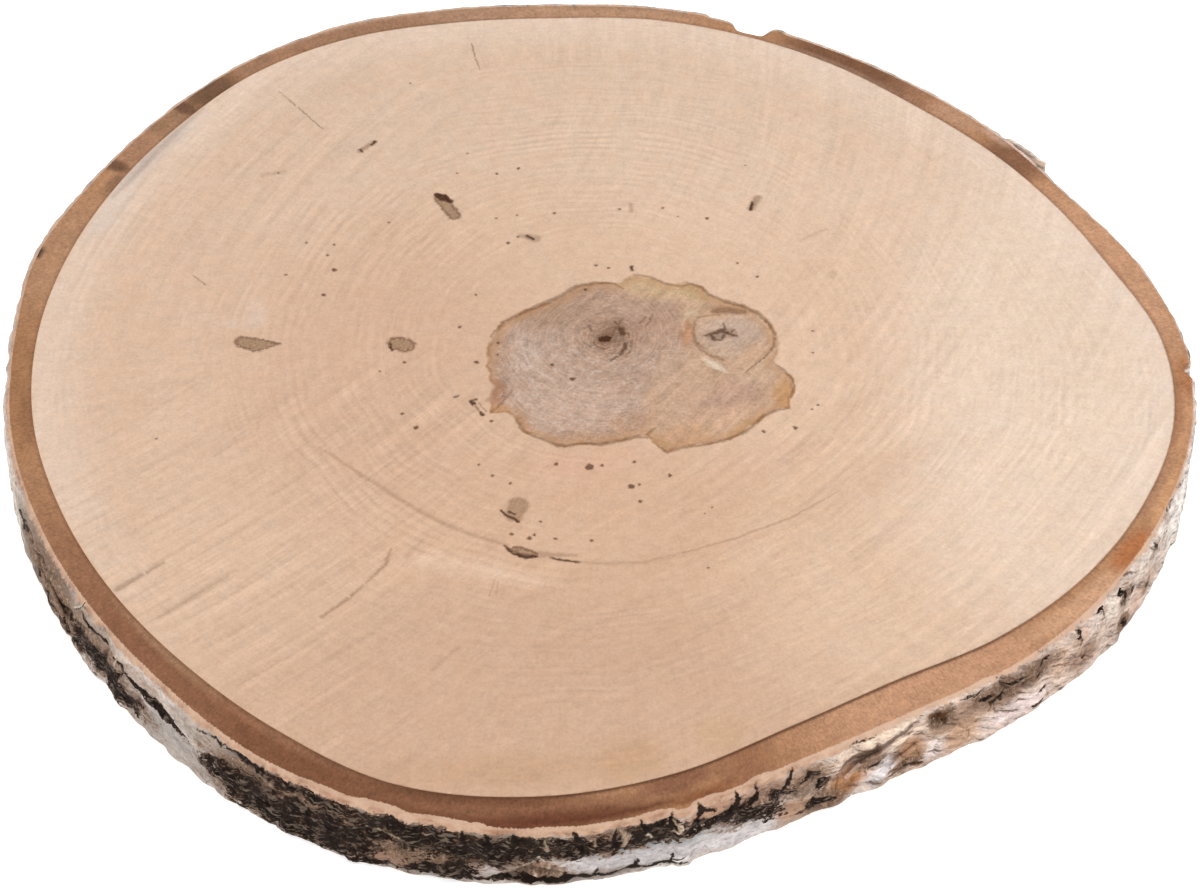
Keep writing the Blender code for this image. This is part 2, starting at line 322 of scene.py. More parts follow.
FACE_MARKS = (
    # Flecks
    ("fleck", (-56.2, 69.8, 2.5), (-51.2, 60.8, 2.2)),
    ("soot", (-57.8, 71.8, .9), (-55.5, 70.2, 1.7), (-52.6, 68.2, .7)),
    ("fleck", (-119.6, -1.6, 2.5), (-114.4, -3.3, 3.3), (-107, -2.6, .5)),
    ("fleck", (-68.4, -2.4, 3.2), (-65.4, -3.6, 3.2)),
    ("soot", (-70.6, -2.6, .35), (-70, -5.9, .45)),
    ("fleck", (-29.9, -94.9, .7), (-26.2, -96.3, 1.9), (-21.5, -97.8, 1.2)),
    ("soot", (-31.4, -93.9, .4), (-28.6, -97.3, .5), (-24.6, -99, .8), (-21.3, -98.5, .5)),
    ("shade", (-20.5, -97.6, 1.3), (-9, -98.2, .4)),
    ("soot", (-17, -99.2, .3), (-12.2, -100.4, .55), (-8, -101, .25)),
    ("greyish", (-27.3, -76.2, 3.2), (-28.6, -80.4, 3.0)),
    ("soot", (-32.6, -78.9, .55), (-30.8, -80.9, .45), (-28.6, -82.4, .45), (-27.2, -83.6, .6)),
    ("soot", (-30.2, -79.4, .4), (-28.4, -80.4, .35)),
    ("greyish", (52.4, 70.2, 1.3), (50, 64.7, 1.2)),
    ("soot", (50.6, 67.4, .5), (49.8, 64, .55)),
    ("greyish", (-85.3, 94.6, .7), (-80.9, 99, 1.1)),
    ("soot", (-85, 95.6, .45), (-84.3, 94.4, .4)),
    ("soot", (-81.2, 98.2, .45), (-80.1, 99.8, .5)),
    ("shade", (-28.4, 50.8, 1.0), (-23.6, 49.2, 2.0)),
    ("soot", (-26.4, 50.6, .5), (-24.4, 49, .6)),
    ("smear", (76.6, 31.8, 1.3), (76.2, 30, 1.0)),
    ("smear", (66, 48, .5), (75, 54, .6)),
    ("smear", (-118, 82, 1.0), (-111, 84, .8)),
    ("shade", (9, 63, .6), (9, 67, .7)),
    ("soot", (9, 33.2, .55), (9, 35, .6)),
    # Cracks and scratches
    ("hair", (-115.5, 127.6, .12), (-108, 118.3, .35), (-98.6, 106.6, .25)),
    ("hair", (-47.8, 154.5, .25), (-46.5, 147, .35), (-44.5, 139.5, .2)),
    ("hair", (-138, 30.5, .2), (-133.5, 26, .3)),
    ("scratch", (-136.5, -101, .4), (-143, -106.5, .8), (-150, -112.5, 1.0)),
    ("smear", (-114, -104, .4), (-124, -113, 1.1), (-136, -124, .8)),
    ("scratch", (-66.5, -95, .2), (-68, -102, .7), (-73.5, -109.5, .3), (-79, -116.5, .7),
     (-86.5, -123.8, .5)),
    ("smear", (-57, -92, .4), (-61.5, -98.5, .9)),
    ("smear", (-44, -136, .5), (-52, -145, .6)),
    ("faint", (-34, -108, .2), (-35.5, -115, .3)),
    ("faint", (-32.8, -108.5, .2), (-33.6, -114.5, .25)),
    ("smear", (-141.5, 118, .5), (-149, 106, .8), (-154.5, 96, 1.2), (-162, 82, .9),
     (-168.5, 71, .5)),
    # The growth ring that stands out
    ("ring", (-91.4, -50.7, .3), (-78.8, -61.6, .6), (-69.6, -69.6, .8), (-60, -77.8, .8),
     (-49.2, -85.2, .7), (-40, -90, .7), (-30.4, -93.7, .6)),
    ("ring", (-9, -100.9, .4), (0, -101.6, .6), (12, -101, .5), (24.2, -96.9, .3)),
    ("faint", (24.2, -96.9, .3), (40, -91, .5), (58, -82, .4), (74, -70, .2)),
    # The pith and the dark strokes round it
    ("soot", (-1.2, -.5, 1.2), (.6, -.3, 1.5), (1.8, .2, .6)),
    ("shade", (-.5, -.5, 3.0), (1.2, .4, 2.6)),
    ("crack", (5.2, 4.4, 1.0), (5.8, 2.2, 1.1)),
    ("crack", (4.6, 5.1, .35), (3.2, 8.4, .3)),
    ("crack", (6.6, -2.4, .5), (6.5, -5, .8), (5, -7.6, .7)),
    ("crack", (4.2, -8.7, .35), (1.8, -10.4, .3)),
    ("swirl", (2.8, 3, .4), (4.1, 5.8, .45), (5.8, 9.4, .4)),
    ("swirl", (-5.6, 6.4, .35), (-4.2, 3.6, .35)),
    ("swirl", (-3.8, -1.9, .3), (-2.9, -4.2, .35), (-.6, -5.2, .35), (1.6, -4.5, .3)),
    ("swirl", (8.8, -1.2, .35), (8.6, -5, .45), (6.8, -8.8, .35)),
    ("swirl", (7.6, 2.4, .5), (7.8, .2, .4)),
    ("swirl", (11.4, 7.2, .4), (13.4, 10, .3)),
    ("swirl", (13.2, 5.4, .3), (14.8, 8.2, .4), (15.8, 11.8, .3)),
    # The knot
    ("crack", (32.8, 1.3, .35), (35.4, 2.1, .7), (38, 3.4, .9), (39.6, 4.4, .6), (39.2, 7.2, .2)),
    ("crack", (39, 3.2, .9), (41, 2.2, .8), (43.4, 1, .4)),
    ("crack", (35, 1.4, .6), (36.2, -.9, .5), (38.4, -.9, .4), (39.4, 1.8, .5)),
    ("crack", (41, 2.2, .5), (42.6, 4, .2)),
    ("shade", (35.6, 1.2, 2.4), (41.4, 2.6, 2.2)),
    ("brown", (36.2, 12.9, 1.1), (41, 13.6, 1.3), (46, 12.6, 1.1)),
    ("brown", (29.8, 8, .3), (29.2, 3, .6), (29.6, -1.5, .8), (32, -5.4, 1.0), (35.4, -8.4, 1.0),
     (38.6, -10.4, .6)),
    ("pale", (32.4, -9.8, .5), (35.4, -12.4, 1.4), (39.4, -15.8, .5)),
    ("cream", (25.9, 3.6, .4), (25.6, 8, .7), (27.3, 11.4, .9), (30.6, 13.8, .4)),
    ("cream", (31.5, -4.9, .3), (36, -7.7, .5), (42, -7.4, .5), (46.5, -5.6, .3)),
    ("cream", (57.1, .4, .3), (56.5, -4, .35), (53.4, -9, .35), (49.4, -13, .3)),
    ("hair", (55.8, .2, .5), (55.2, -4.2, .4), (52.3, -9, .35), (48.3, -13.3, .35),
     (45.8, -16.3, .25)),
    ("cream", (50.3, 10.6, .3), (53, 7, .4), (54.6, 3, .3)),
    ("rimline", (30.6, 9.8, .25), (34, 11, .3), (38, 11.4, .3)),
    # Where the stain's edge is drawn darker
    ("rimline", (-37.6, 1, .3), (-33.4, 8, .6), (-26.5, 13, .7), (-18.6, 17.9, 1.0),
     (-14.4, 20.8, .8), (-9.8, 25.3, .8), (-3, 27.2, .6), (3, 26.6, .4), (6, 24, .3)),
    ("rimline", (10, 31, .3), (15, 30, .4), (20, 26.8, .5), (25, 25.2, .4), (29, 26.2, .3)),
    ("rimline", (27.5, 27.3, .3), (32.4, 24.6, .6), (34.4, 21.4, .7), (39.4, 18.2, .7),
     (45.9, 15.6, .8), (50.8, 12, .8), (54.2, 7.4, .7), (56.2, 1.8, .5)),
    ("rimline", (-28.6, -38.6, .4), (-26.4, -43.4, .6), (-19.4, -47.6, .5), (-15, -50, .7),
     (-12, -50.3, .6), (-7.6, -49, .6), (-1.4, -49.4, .8), (5, -47.9, .7), (10.6, -45.9, .7),
     (13.6, -46.4, .3)),
    ("rimline", (16.8, -50.2, .3), (19.8, -53, .6), (24, -51.2, .5), (32, -49.6, .5),
     (40, -47, .5), (45, -43.6, .6), (48.6, -39.8, .5), (50.8, -36.8, .6), (55, -34, .6),
     (59.4, -32.9, .5)),
    ("rimline", (60.2, -28, .3), (61.6, -23, .4), (61, -19.2, .4), (58, -14.8, .3),
     (55.4, -12, .3)),
    ("rimline", (-36.8, -35, .3), (-33, -30, .35), (-30, -24.5, .25)),
    ("rimline", (13.6, -45, .4), (16, -42, .3)),
    ("cream", (-27.5, -2, .25), (-26, -8, .4), (-24.4, -14, .3)),
    ("cream", (-24.6, -4, .2), (-22.8, -10, .35), (-22, -15.5, .25)),
    ("cream", (-30, -9, .2), (-28.6, -13.4, .3)),
    ("cream", (-21, -21, .2), (-19, -23.4, .3), (-15.6, -25, .2)),
    ("cream", (-24, -26, .2), (-22.6, -28.4, .35)),
    ("cream", (-13.4, -31.6, .2), (-12, -32, .3)),
    # The bracket beside the heart
    ("soot", (-43.2, -29.7, .7), (-42.4, -31.2, .8)),
    ("soot", (-40.4, -34.4, .4), (-39.5, -35.9, .65)),
    ("hair", (-42.4, -31.2, .5), (-40.4, -34.4, .4)),
    ("soot", (-43.4, -29.6, .35), (-41.6, -29, .4)),
    ("hair", (-40.9, -30.4, .2), (-38.2, -34.6, .25)),
    ("soot", (-48.8, -27.8, .3), (-47.6, -27.2, .3)),
)

# How each look is drawn: strength, softness of its edge, tone from 0 dark to 1 pale, outline
MARK_LOOKS = {
    "dot": (0.82, 0.7, 0.12, 0.0),
    "soot": (0.90, 0.8, 0.0, 0.0),
    "crack": (0.78, 1.0, 0.06, 0.0),
    "swirl": (0.50, 0.9, 0.16, 0.0),
    "fleck": (0.80, 1.1, 0.46, 1.0),
    "greyish": (0.60, 1.5, 0.42, 0.4),
    "shade": (0.38, 1.3, 0.26, 0.0),
    "brown": (0.55, 0.9, 0.34, 0.0),
    "hair": (0.50, 0.4, 0.26, 0.0),
    "faint": (0.28, 0.4, 0.34, 0.0),
    "scratch": (0.44, 1.1, 0.28, 0.0),
    "smear": (0.25, 1.6, 0.34, 0.0),
    "ring": (0.32, 1.5, 0.30, 0.0),
    "rimline": (0.60, 0.9, 0.30, 0.0),
    "pale": (0.66, 2.0, 0.98, 0.0),
    "cream": (0.34, 0.9, 0.82, 0.0),
    "tooth": (0.97, 0.45, -0.1, 0.0),
    "rust": (0.55, 0.6, 0.34, 0.0),
    "line": (0.80, 0.8, 0.14, 0.0),
    "tan": (0.70, 0.7, 0.62, 0.0),
    "lenticel": (0.72, 0.4, 0.12, 0.0),
    "light": (0.70, 0.5, 0.95, 0.0),
}

# Soft patches of colour on the upper face: x, y, half width, half height, lean in degrees, colour,
# strength. Broad ones come first, and the lower face has only those.
BROAD_PATCHES = 12
FACE_PATCHES = (
    (85, 15, 80, 90, 0, (230, 197, 170), .6),
    # The pale patches on the right are partly the wood's own tone and partly a painted sheen of the
    # light
    (150, 0, 62, 120, 0, (241, 218, 197), .7),
    (60, 110, 90, 70, 0, (230, 202, 178), .65),
    (-30, 125, 90, 60, 0, (223, 195, 171), .6),
    (-120, 95, 75, 75, 0, (223, 194, 170), .6),
    (-145, -5, 62, 90, 0, (222, 190, 165), .6),
    (-115, -95, 80, 60, 0, (221, 189, 163), .5),
    (-72, -15, 55, 75, 0, (213, 175, 148), .6),
    (0, -95, 95, 55, 0, (216, 176, 146), .6),
    (-15, -165, 120, 60, 0, (208, 171, 144), .75),
    (105, -105, 75, 60, 20, (231, 200, 173), .6),
    # Partly a painted sheen of the light at the front right
    (150, -80, 60, 70, 30, (243, 219, 198), .55),
    (-4, -56, 26, 8, 6, (219, 175, 150), .35),
    (-11, -66, 16, 12, 10, (218, 174, 150), .25),
    (48, -57, 26, 9, 20, (224, 186, 160), .3),
    (-84, 133, 10, 9, 0, (206, 174, 148), .15),
    (-98, -128.5, 9, 5, 10, (198, 168, 143), .25),
    (-88, -133, 9, 4, 10, (198, 168, 145), .25),
    (-116, 12, 4, 8, 0, (232, 210, 196), .35),
    (-123, 7, 3, 2.5, 0, (234, 212, 196), .4),
    (-160, 92, 6, 26, -29, (200, 184, 177), .85),
    (-155, 96, 2.8, 24, -29, (160, 145, 139), .95),
    (-150, 106, 7, 18, -30, (212, 194, 180), .4),
    (-168, 66, 5, 22, -20, (206, 192, 184), .5),
    (-40, -104, 26, 4.5, -14, (236, 208, 184), .4),
    (28, -98, 22, 3.4, 24, (203, 164, 136), .3),
    (80, -66, 36, 8, 34, (208, 172, 145), .3),
    (-50, -186, 42, 7, 0, (200, 160, 130), .4),
    (-20, -184, 34, 8, 0, (204, 164, 130), .4),
    (8, -180, 12, 9, 10, (194, 154, 116), .45),
    (34, -170, 10, 8, 20, (204, 168, 130), .4),
)

# Soft patches inside the heart stain, in the same form
HEART_PATCHES = (
    (-22, -14, 16, 23, 12, (194, 164, 145), .85),
    (-8, -32, 21, 14, 0, (204, 173, 153), .8),
    (-25, -7, 5, 11, 10, (198, 174, 158), .45),
    (-12, 16, 17, 9, 35, (176, 143, 119), .7),
    (3, 19, 11, 8, 0, (191, 157, 134), .6),
    (1, 2, 11, 12, 0, (160, 126, 104), .6),
    (3, 2, 5.5, 6, 0, (126, 94, 74), .55),
    (13, 5, 5, 14, -20, (178, 142, 119), .6),
    (20, 4, 6, 14, -15, (187, 151, 128), .6),
    (-34.5, -6, 4, 15, 0, (184, 150, 126), .6),
    (-29, 11, 8, 3.4, 30, (168, 134, 107), .65),
    (-35, -25, 3.8, 6.4, 0, (152, 108, 88), .75),
    (-34, -33.5, 4, 2.6, 0, (186, 140, 100), .65),
    (-28, -39, 4.6, 5, 30, (182, 143, 116), .65),
    (8, -40, 9, 5.8, 18, (188, 147, 117), .6),
    (-6, -46.5, 17, 3.2, 3, (186, 148, 119), .6),
    (18, 25, 17, 6.5, -8, (206, 175, 138), .8),
    (30, 22, 6, 4, -30, (190, 160, 118), .55),
    (30, 13, 6, 5, -30, (206, 176, 144), .6),
    (42, 2, 12.5, 10, 0, (198, 171, 152), .95),
    (27, 3, 2.4, 8, 0, (196, 144, 106), .75),
    (34.5, 12.5, 8, 3, -20, (198, 160, 128), .6),
    (41, 13.6, 7.4, 2.4, -8, (160, 124, 98), .7),
    (50, -7, 6, 6, 30, (208, 170, 140), .7),
    (54, 4, 2.6, 9, 0, (202, 168, 140), .6),
    (24, -13, 9, 9, 35, (199, 167, 142), .7),
    (24, -27, 10, 12, 35, (203, 167, 143), .7),
    (42, -26, 12, 8, 48, (195, 157, 136), .75),
    (50, -17, 8, 6, 30, (208, 175, 147), .65),
    (36, -38, 13, 5, 22, (211, 171, 142), .65),
    (26, -45, 11, 5, 15, (206, 163, 128), .65),
    (58, -27, 4.4, 8.4, 0, (205, 158, 112), .85),
    (46, -42, 8, 3.6, 30, (190, 152, 108), .6),
    (17, -50, 5, 3.4, 0, (196, 156, 118), .6),
)

# Soft patches on the sawn inner bark: bearing, distance from the wood, half width in degrees,
# half depth, lean, colour, strength
RIM_PATCHES = (
    (12, 4, 17, 10, 0, (203, 154, 120), 1),
    (32.5, 3, 4.6, 9, 0, (143, 101, 75), 1),
    (37, 6.8, 3, 1.8, 0, (202, 164, 142), .7),
    (43, 4.5, 4.4, 5, 0, (190, 146, 116), 1),
    (49.5, 3.5, 4, 9, 0, (170, 125, 95), 1),
    (59, 4, 10, 9, 0, (130, 90, 66), 1),
    (58, .4, 14, 1.2, 0, (170, 134, 112), .8),
    (92, 3.5, 15, 9, 0, (187, 145, 115), 1),
    (88, 6.2, 9, 1.6, 0, (166, 128, 101), .8),
    (107, 4, 8, 9, 0, (177, 137, 110), 1),
    (120, 3.4, 11, 8, 0, (164, 123, 95), 1),
    (121, 7.2, 12, 1.4, 0, (190, 154, 128), .8),
    (131.5, 4, 3, 9, 0, (162, 122, 96), .9),
    (137.5, 3.4, 4, 9, 0, (120, 88, 66), 1),
    (144.5, 4, 3.6, 9, 0, (162, 123, 94), .95),
    (141.4, 5, 1.0, 7, 0, (100, 70, 54), .8),
    (150, 4.5, 4, 9, 0, (174, 130, 101), .95),
    (152.8, 6, 1.0, 6, 0, (106, 74, 56), .85),
    (155.6, 1.6, 2.2, 2.6, 0, (130, 98, 74), .8),
    (167, 4, 11, 9, 0, (182, 138, 105), 1),
    (167.6, 9.6, 1.0, 1.6, 0, (58, 42, 34), .95),
    (187, 4, 12, 10, 0, (168, 121, 86), 1),
    (191, 2.2, 5, 2.2, 0, (152, 108, 77), .8),
    (203, 4, 5.4, 10, 0, (171, 125, 92), .9),
    (212.5, 4, 8, 10, 0, (156, 111, 82), 1),
    (226, 6, 12, 12, 0, (143, 98, 72), 1),
    (227, 1, 10, 2, 0, (165, 124, 94), .9),
    (242, 6, 10, 12, 0, (131, 87, 62), 1),
    (240, 1.2, 8, 2, 0, (154, 109, 82), .9),
    (258, 6, 13, 14, 0, (127, 83, 59), 1),
    (262, 5.2, 13, 2.4, 0, (144, 98, 73), .8),
    (268, 9.8, 10, 3.4, 0, (108, 63, 43), 1),
    (257, 1, 8, 1.6, 0, (118, 80, 56), .8),
    (276.5, 3, 4.4, 5, 0, (141, 95, 71), .9),
    (279, 10.6, 4.4, 3.2, 0, (138, 86, 56), .9),
    (283.5, 5, 4, 12, 0, (157, 109, 80), .95),
    (289.5, 6, 5, 14, 0, (177, 129, 95), 1),
    (303, 6, 15, 14, 0, (200, 151, 118), 1),
    (322, 6.4, 9, 4, 0, (214, 166, 131), .9),
    (329.5, 5.4, 3.6, 4.4, 0, (184, 118, 76), 1),
    (338, 5.6, 5, 3.2, 0, (210, 158, 117), .95),
    (339, 1.4, 6, 2, 0, (185, 139, 108), .8),
    (348, 3.8, 6, 5, 0, (203, 151, 113), .95),
    (350, 1.4, 6, 2, 0, (172, 124, 92), .9),
    (354.5, 4.5, 3, 3.4, 0, (182, 124, 86), .9),
    (355.8, 6.4, .9, 2.0, 0, (70, 46, 36), .95),
)
# Chips out of the brown edge, where pale cork reaches in: bearing, half width in degrees, depth
BROWN_CHIPS = (
    (251.6, 1.9, 1.3),
    (257.2, 2.2, 1.2),
    (246.5, 1.5, .5),
    (259.9, .5, .8),
    (265.5, 1.2, .5),
    (274.0, 1.0, .5),
    (278.6, 1.0, .7),
    (283.5, 1.0, .9),
    (307.0, 1.0, .5),
    (356.0, 1.2, -2.4),
)

# Soft patches on the wall: bearing, height, half width in degrees, half height, lean, colour,
# strength
WALL_PATCHES = (
    (312, 12, 28, 18, 0, (214, 190, 174), .95),
    (190, 12, 7, 18, 0, (226, 214, 204), .9),
    (198, 18, 4, 7, 0, (206, 186, 172), .8),
    (204, 12, 5, 15, 0, (150, 134, 120), .9),
    (210, 12, 7, 15, 0, (136, 114, 97), .95),
    (206, 18.5, 5, 3.5, 0, (166, 142, 124), .6),
    (211, 20.5, 5.5, 3.4, 0, (132, 110, 94), .85),
    (219, 18, 6, 6, 0, (150, 127, 109), .9),
    (226, 19, 5, 3.6, 0, (180, 156, 140), .8),
    (229.5, 8, 5.6, 9, 0, (176, 166, 160), 1),
    (231, 3, 6, 5, 0, (178, 166, 156), .8),
    (235, 19, 6, 4.6, 0, (178, 162, 150), .95),
    (236, 4, 3, 3.4, 0, (176, 166, 158), .7),
    (244, 14, 9, 14, 0, (112, 92, 78), .95),
    (256, 13, 10, 14, 0, (108, 88, 74), .95),
    (252.6, 5.4, 3, 4.4, 0, (160, 126, 106), .9),
    (254, 11, 3.4, 3, 0, (128, 112, 100), .7),
    (261.2, 6.5, 2.4, 2.8, 0, (206, 194, 190), .9),
    (265, 6.4, 2, 4.6, 0, (196, 150, 122), .95),
    (270, 17, 8, 6.4, 0, (122, 98, 82), .95),
    (272.4, 7.6, 7, 4.6, 0, (196, 189, 188), 1),
    (281, 4, 6, 5.6, 0, (212, 204, 202), 1),
    (279, 10, 4, 3.6, 0, (198, 192, 190), .9),
    (269, 2.6, 5.4, 3.0, 0, (140, 124, 114), .9),
    (278, 1.2, 4, 1.8, 0, (194, 180, 172), .8),
    (274, 11.6, 7, 1.6, 0, (150, 156, 160), .6),
    (279.5, 19.5, 4, 3.6, 0, (188, 146, 120), .95),
    (284, 19, 3, 4.6, 0, (172, 134, 112), .9),
    (288, 18, 3, 5, 0, (164, 132, 108), .9),
    (287, 6, 2.4, 5, 0, (178, 140, 114), .95),
    (288, 1.6, 4, 2.2, 0, (172, 146, 128), .85),
    (290.6, 4, 2.8, 4.4, 0, (108, 78, 60), .85),
    (292.2, 9, 2.2, 7, 0, (178, 122, 78), .95),
    (293.6, 20, 4.4, 3, .35, (231, 205, 184), .95),
    (297.4, 22.2, 4, 1.4, 0, (236, 210, 186), .9),
    (298.6, 17.2, 3.6, 1.6, .75, (231, 205, 184), .9),
    (294.6, 14, 2.2, 3.4, 0, (118, 88, 68), .9),
    (295.8, 7, 1.5, 5, 2.2, (218, 210, 210), .95),
    (298.8, 9, 1.9, 8, .8, (166, 126, 96), .95),
    (301.4, 6, 1.2, 5, .8, (238, 220, 214), .95),
    (304.6, 8, 2.4, 9, .8, (186, 150, 124), .95),
    (302.6, 14.2, 2.2, 3.2, 0, (148, 118, 96), .9),
    (299, 1.6, 5, 2, 0, (196, 170, 152), .7),
    (305.6, 17.4, 3.4, 4.6, 0, (170, 138, 118), .9),
    (302.0, 18.8, 1.6, 3.2, 0, (78, 57, 46), .9),
    (311, 17.4, 5.2, 5.4, 0, (112, 85, 69), .95),
    (308.6, 13, 2.6, 3, 0, (154, 122, 102), .8),
    (311, 6, 4.4, 5, 0, (228, 208, 202), .95),
    (316, 14, 1.8, 7, 0, (202, 170, 148), .8),
    (319.4, 8.4, 2.4, 6, 0, (160, 128, 108), .9),
    (318.8, 18, 1.4, 4, 0, (192, 160, 140), .7),
    (321, 19, 1.2, 3.4, 0, (226, 204, 194), .8),
    (323.8, 16.6, 1.3, 5, 0, (236, 220, 206), .9),
    (326, 5, 1.2, 4, 0, (140, 112, 92), .8),
    (326.4, 15, 1.4, 6, 0, (166, 142, 128), .7),
    (326.8, 2.2, 3.4, 2.6, 0, (168, 146, 132), .9),
    (328.4, 5, 1.4, 4, 0, (206, 170, 152), .7),
    (331, 8, 3, 5, -.8, (178, 150, 130), .7),
    (330.4, 8.6, 1.2, 3, 0, (150, 118, 96), .8),
    (332.4, 18, 1.4, 4, -1, (170, 148, 134), .6),
    (336, 12, 1.6, 4, -1, (198, 188, 180), .6),
    (341, 14, 5, 14, 0, (238, 228, 220), .9),
    (160, 22, 36, 5, 0, (204, 180, 168), .85),
    (16, 22, 40, 5, 0, (226, 204, 190), .8),
)

# Crusts on the wall: bearing, height, half width in degrees, half height, lean in mm a degree
BLACK_CRUSTS = (
    (219.5, 20.2, 3.4, .8, -.25), (225.5, 16.8, 4.4, 1.3, -.55), (229.6, 14.8, 2.8, 1.6, -.7),
    (218.6, 9.5, 3.8, 5.4, -.4), (222.6, 7.4, 3.4, 5.6, -.3), (213.8, 4.6, 3.0, 3.0, 0),
    (236.8, 10.8, 3.0, 4.4, .2), (239.6, 8.6, 3.6, 7.0, 0), (244.0, 8.4, 5.2, 8.6, 0),
    (248.0, 9.5, 4.0, 9.4, 0), (239.8, 21.0, 2.4, 1.3, 0), (243.0, 20.4, 2.0, 2.0, 0),
    (247.2, 20.2, 3.2, 2.2, 0), (252.0, 16.4, 3.6, 6.4, 0), (256.0, 4.0, 2.6, 3.6, 0),
    (256.8, 16.5, 4.2, 6.4, 0), (260.4, 14.8, 3.4, 7.0, 0), (258.2, 5.0, 1.5, 4.4, 0),
    (264.2, 16.8, 3.0, 6.0, 0), (268.0, 16.2, 2.8, 5.4, 0), (262.6, 3.0, 4.6, 1.3, 0),
    (271.4, 15.4, 1.6, 4.4, 0), (274.2, 16.8, 3.0, 5.2, 0), (278.0, 15.2, 2.0, 3.0, 0),
    (280.8, 14.6, 2.2, 3.2, 0), (283.4, 11.0, 2.4, 4.4, -.8), (285.6, 15.6, 1.3, 2.6, 0),
    (288.4, 17.6, 1.2, 1.0, 0), (289.7, 12.2, .8, 1.8, .9), (289.4, 4.4, 1.7, 1.8, 0),
    (295.0, 11.8, .8, 1.4, .6), (298.4, 3.0, 1.7, .9, 0), (301.9, 19.6, .7, 1.0, 0),
    (302.6, 17.0, .4, 1.2, 0), (314.0, 7.2, .7, .8, 0), (313.4, 3.2, 1.1, .8, 0),
    (325.2, 20.0, .5, 1.6, -1), (327.3, 15.8, .45, 1.4, 0), (326.0, 5.0, .4, 1.8, 0),
    (318.6, 20.0, .3, 2.2, 0), (319.3, 9.2, .4, .9, 0), (322.0, 21.2, .5, .6, 0),
    (332.2, 19.2, .4, 2.4, -1.6), (330.4, 8.4, .3, 1.0, 0), (201.8, 14.0, 1.4, 3.8, .8),
    (208, 4.6, 3, 2.2, 0), (249.5, 2.0, 6.0, 1.8, 0),
    (308.4, 14.4, .9, 1.4, 0), (310.2, 19.6, 1.1, .8, 0), (312.4, 16.6, 1.4, .7, -.6),
    (306.2, 21.4, 1.2, .5, 0), (313.8, 19.6, .9, .6, 0), (307.2, 17.6, .7, .9, 0),
)
BROWN_CRUSTS = (
    (208.5, 12.5, 7.0, 9.0, 0), (214, 8, 6, 8, 0), (221, 10, 7.4, 8.4, -.3),
    (240, 10.5, 6.4, 10.4, 0), (246, 11, 7, 12, 0), (251.5, 14.0, 6.0, 9.0, 0),
    (259, 14.5, 6.4, 8.6, 0), (271, 16.5, 7.4, 6.0, 0), (264, 6, 3, 5, 0),
    (282.5, 14.0, 4.6, 6.4, 0), (288.4, 15.0, 2.6, 6.0, 0), (290.0, 5.0, 2.4, 4.0, 0),
    (298.6, 4.4, 1.8, 3.4, 0), (302.2, 18.4, 1.8, 3.6, 0), (310.8, 17.8, 5.2, 4.6, 0),
    (295.0, 12.4, 1.6, 2.6, 0), (326.2, 17.0, 1.0, 4.4, 0), (326.2, 4.6, 1.2, 3.4, 0),
)
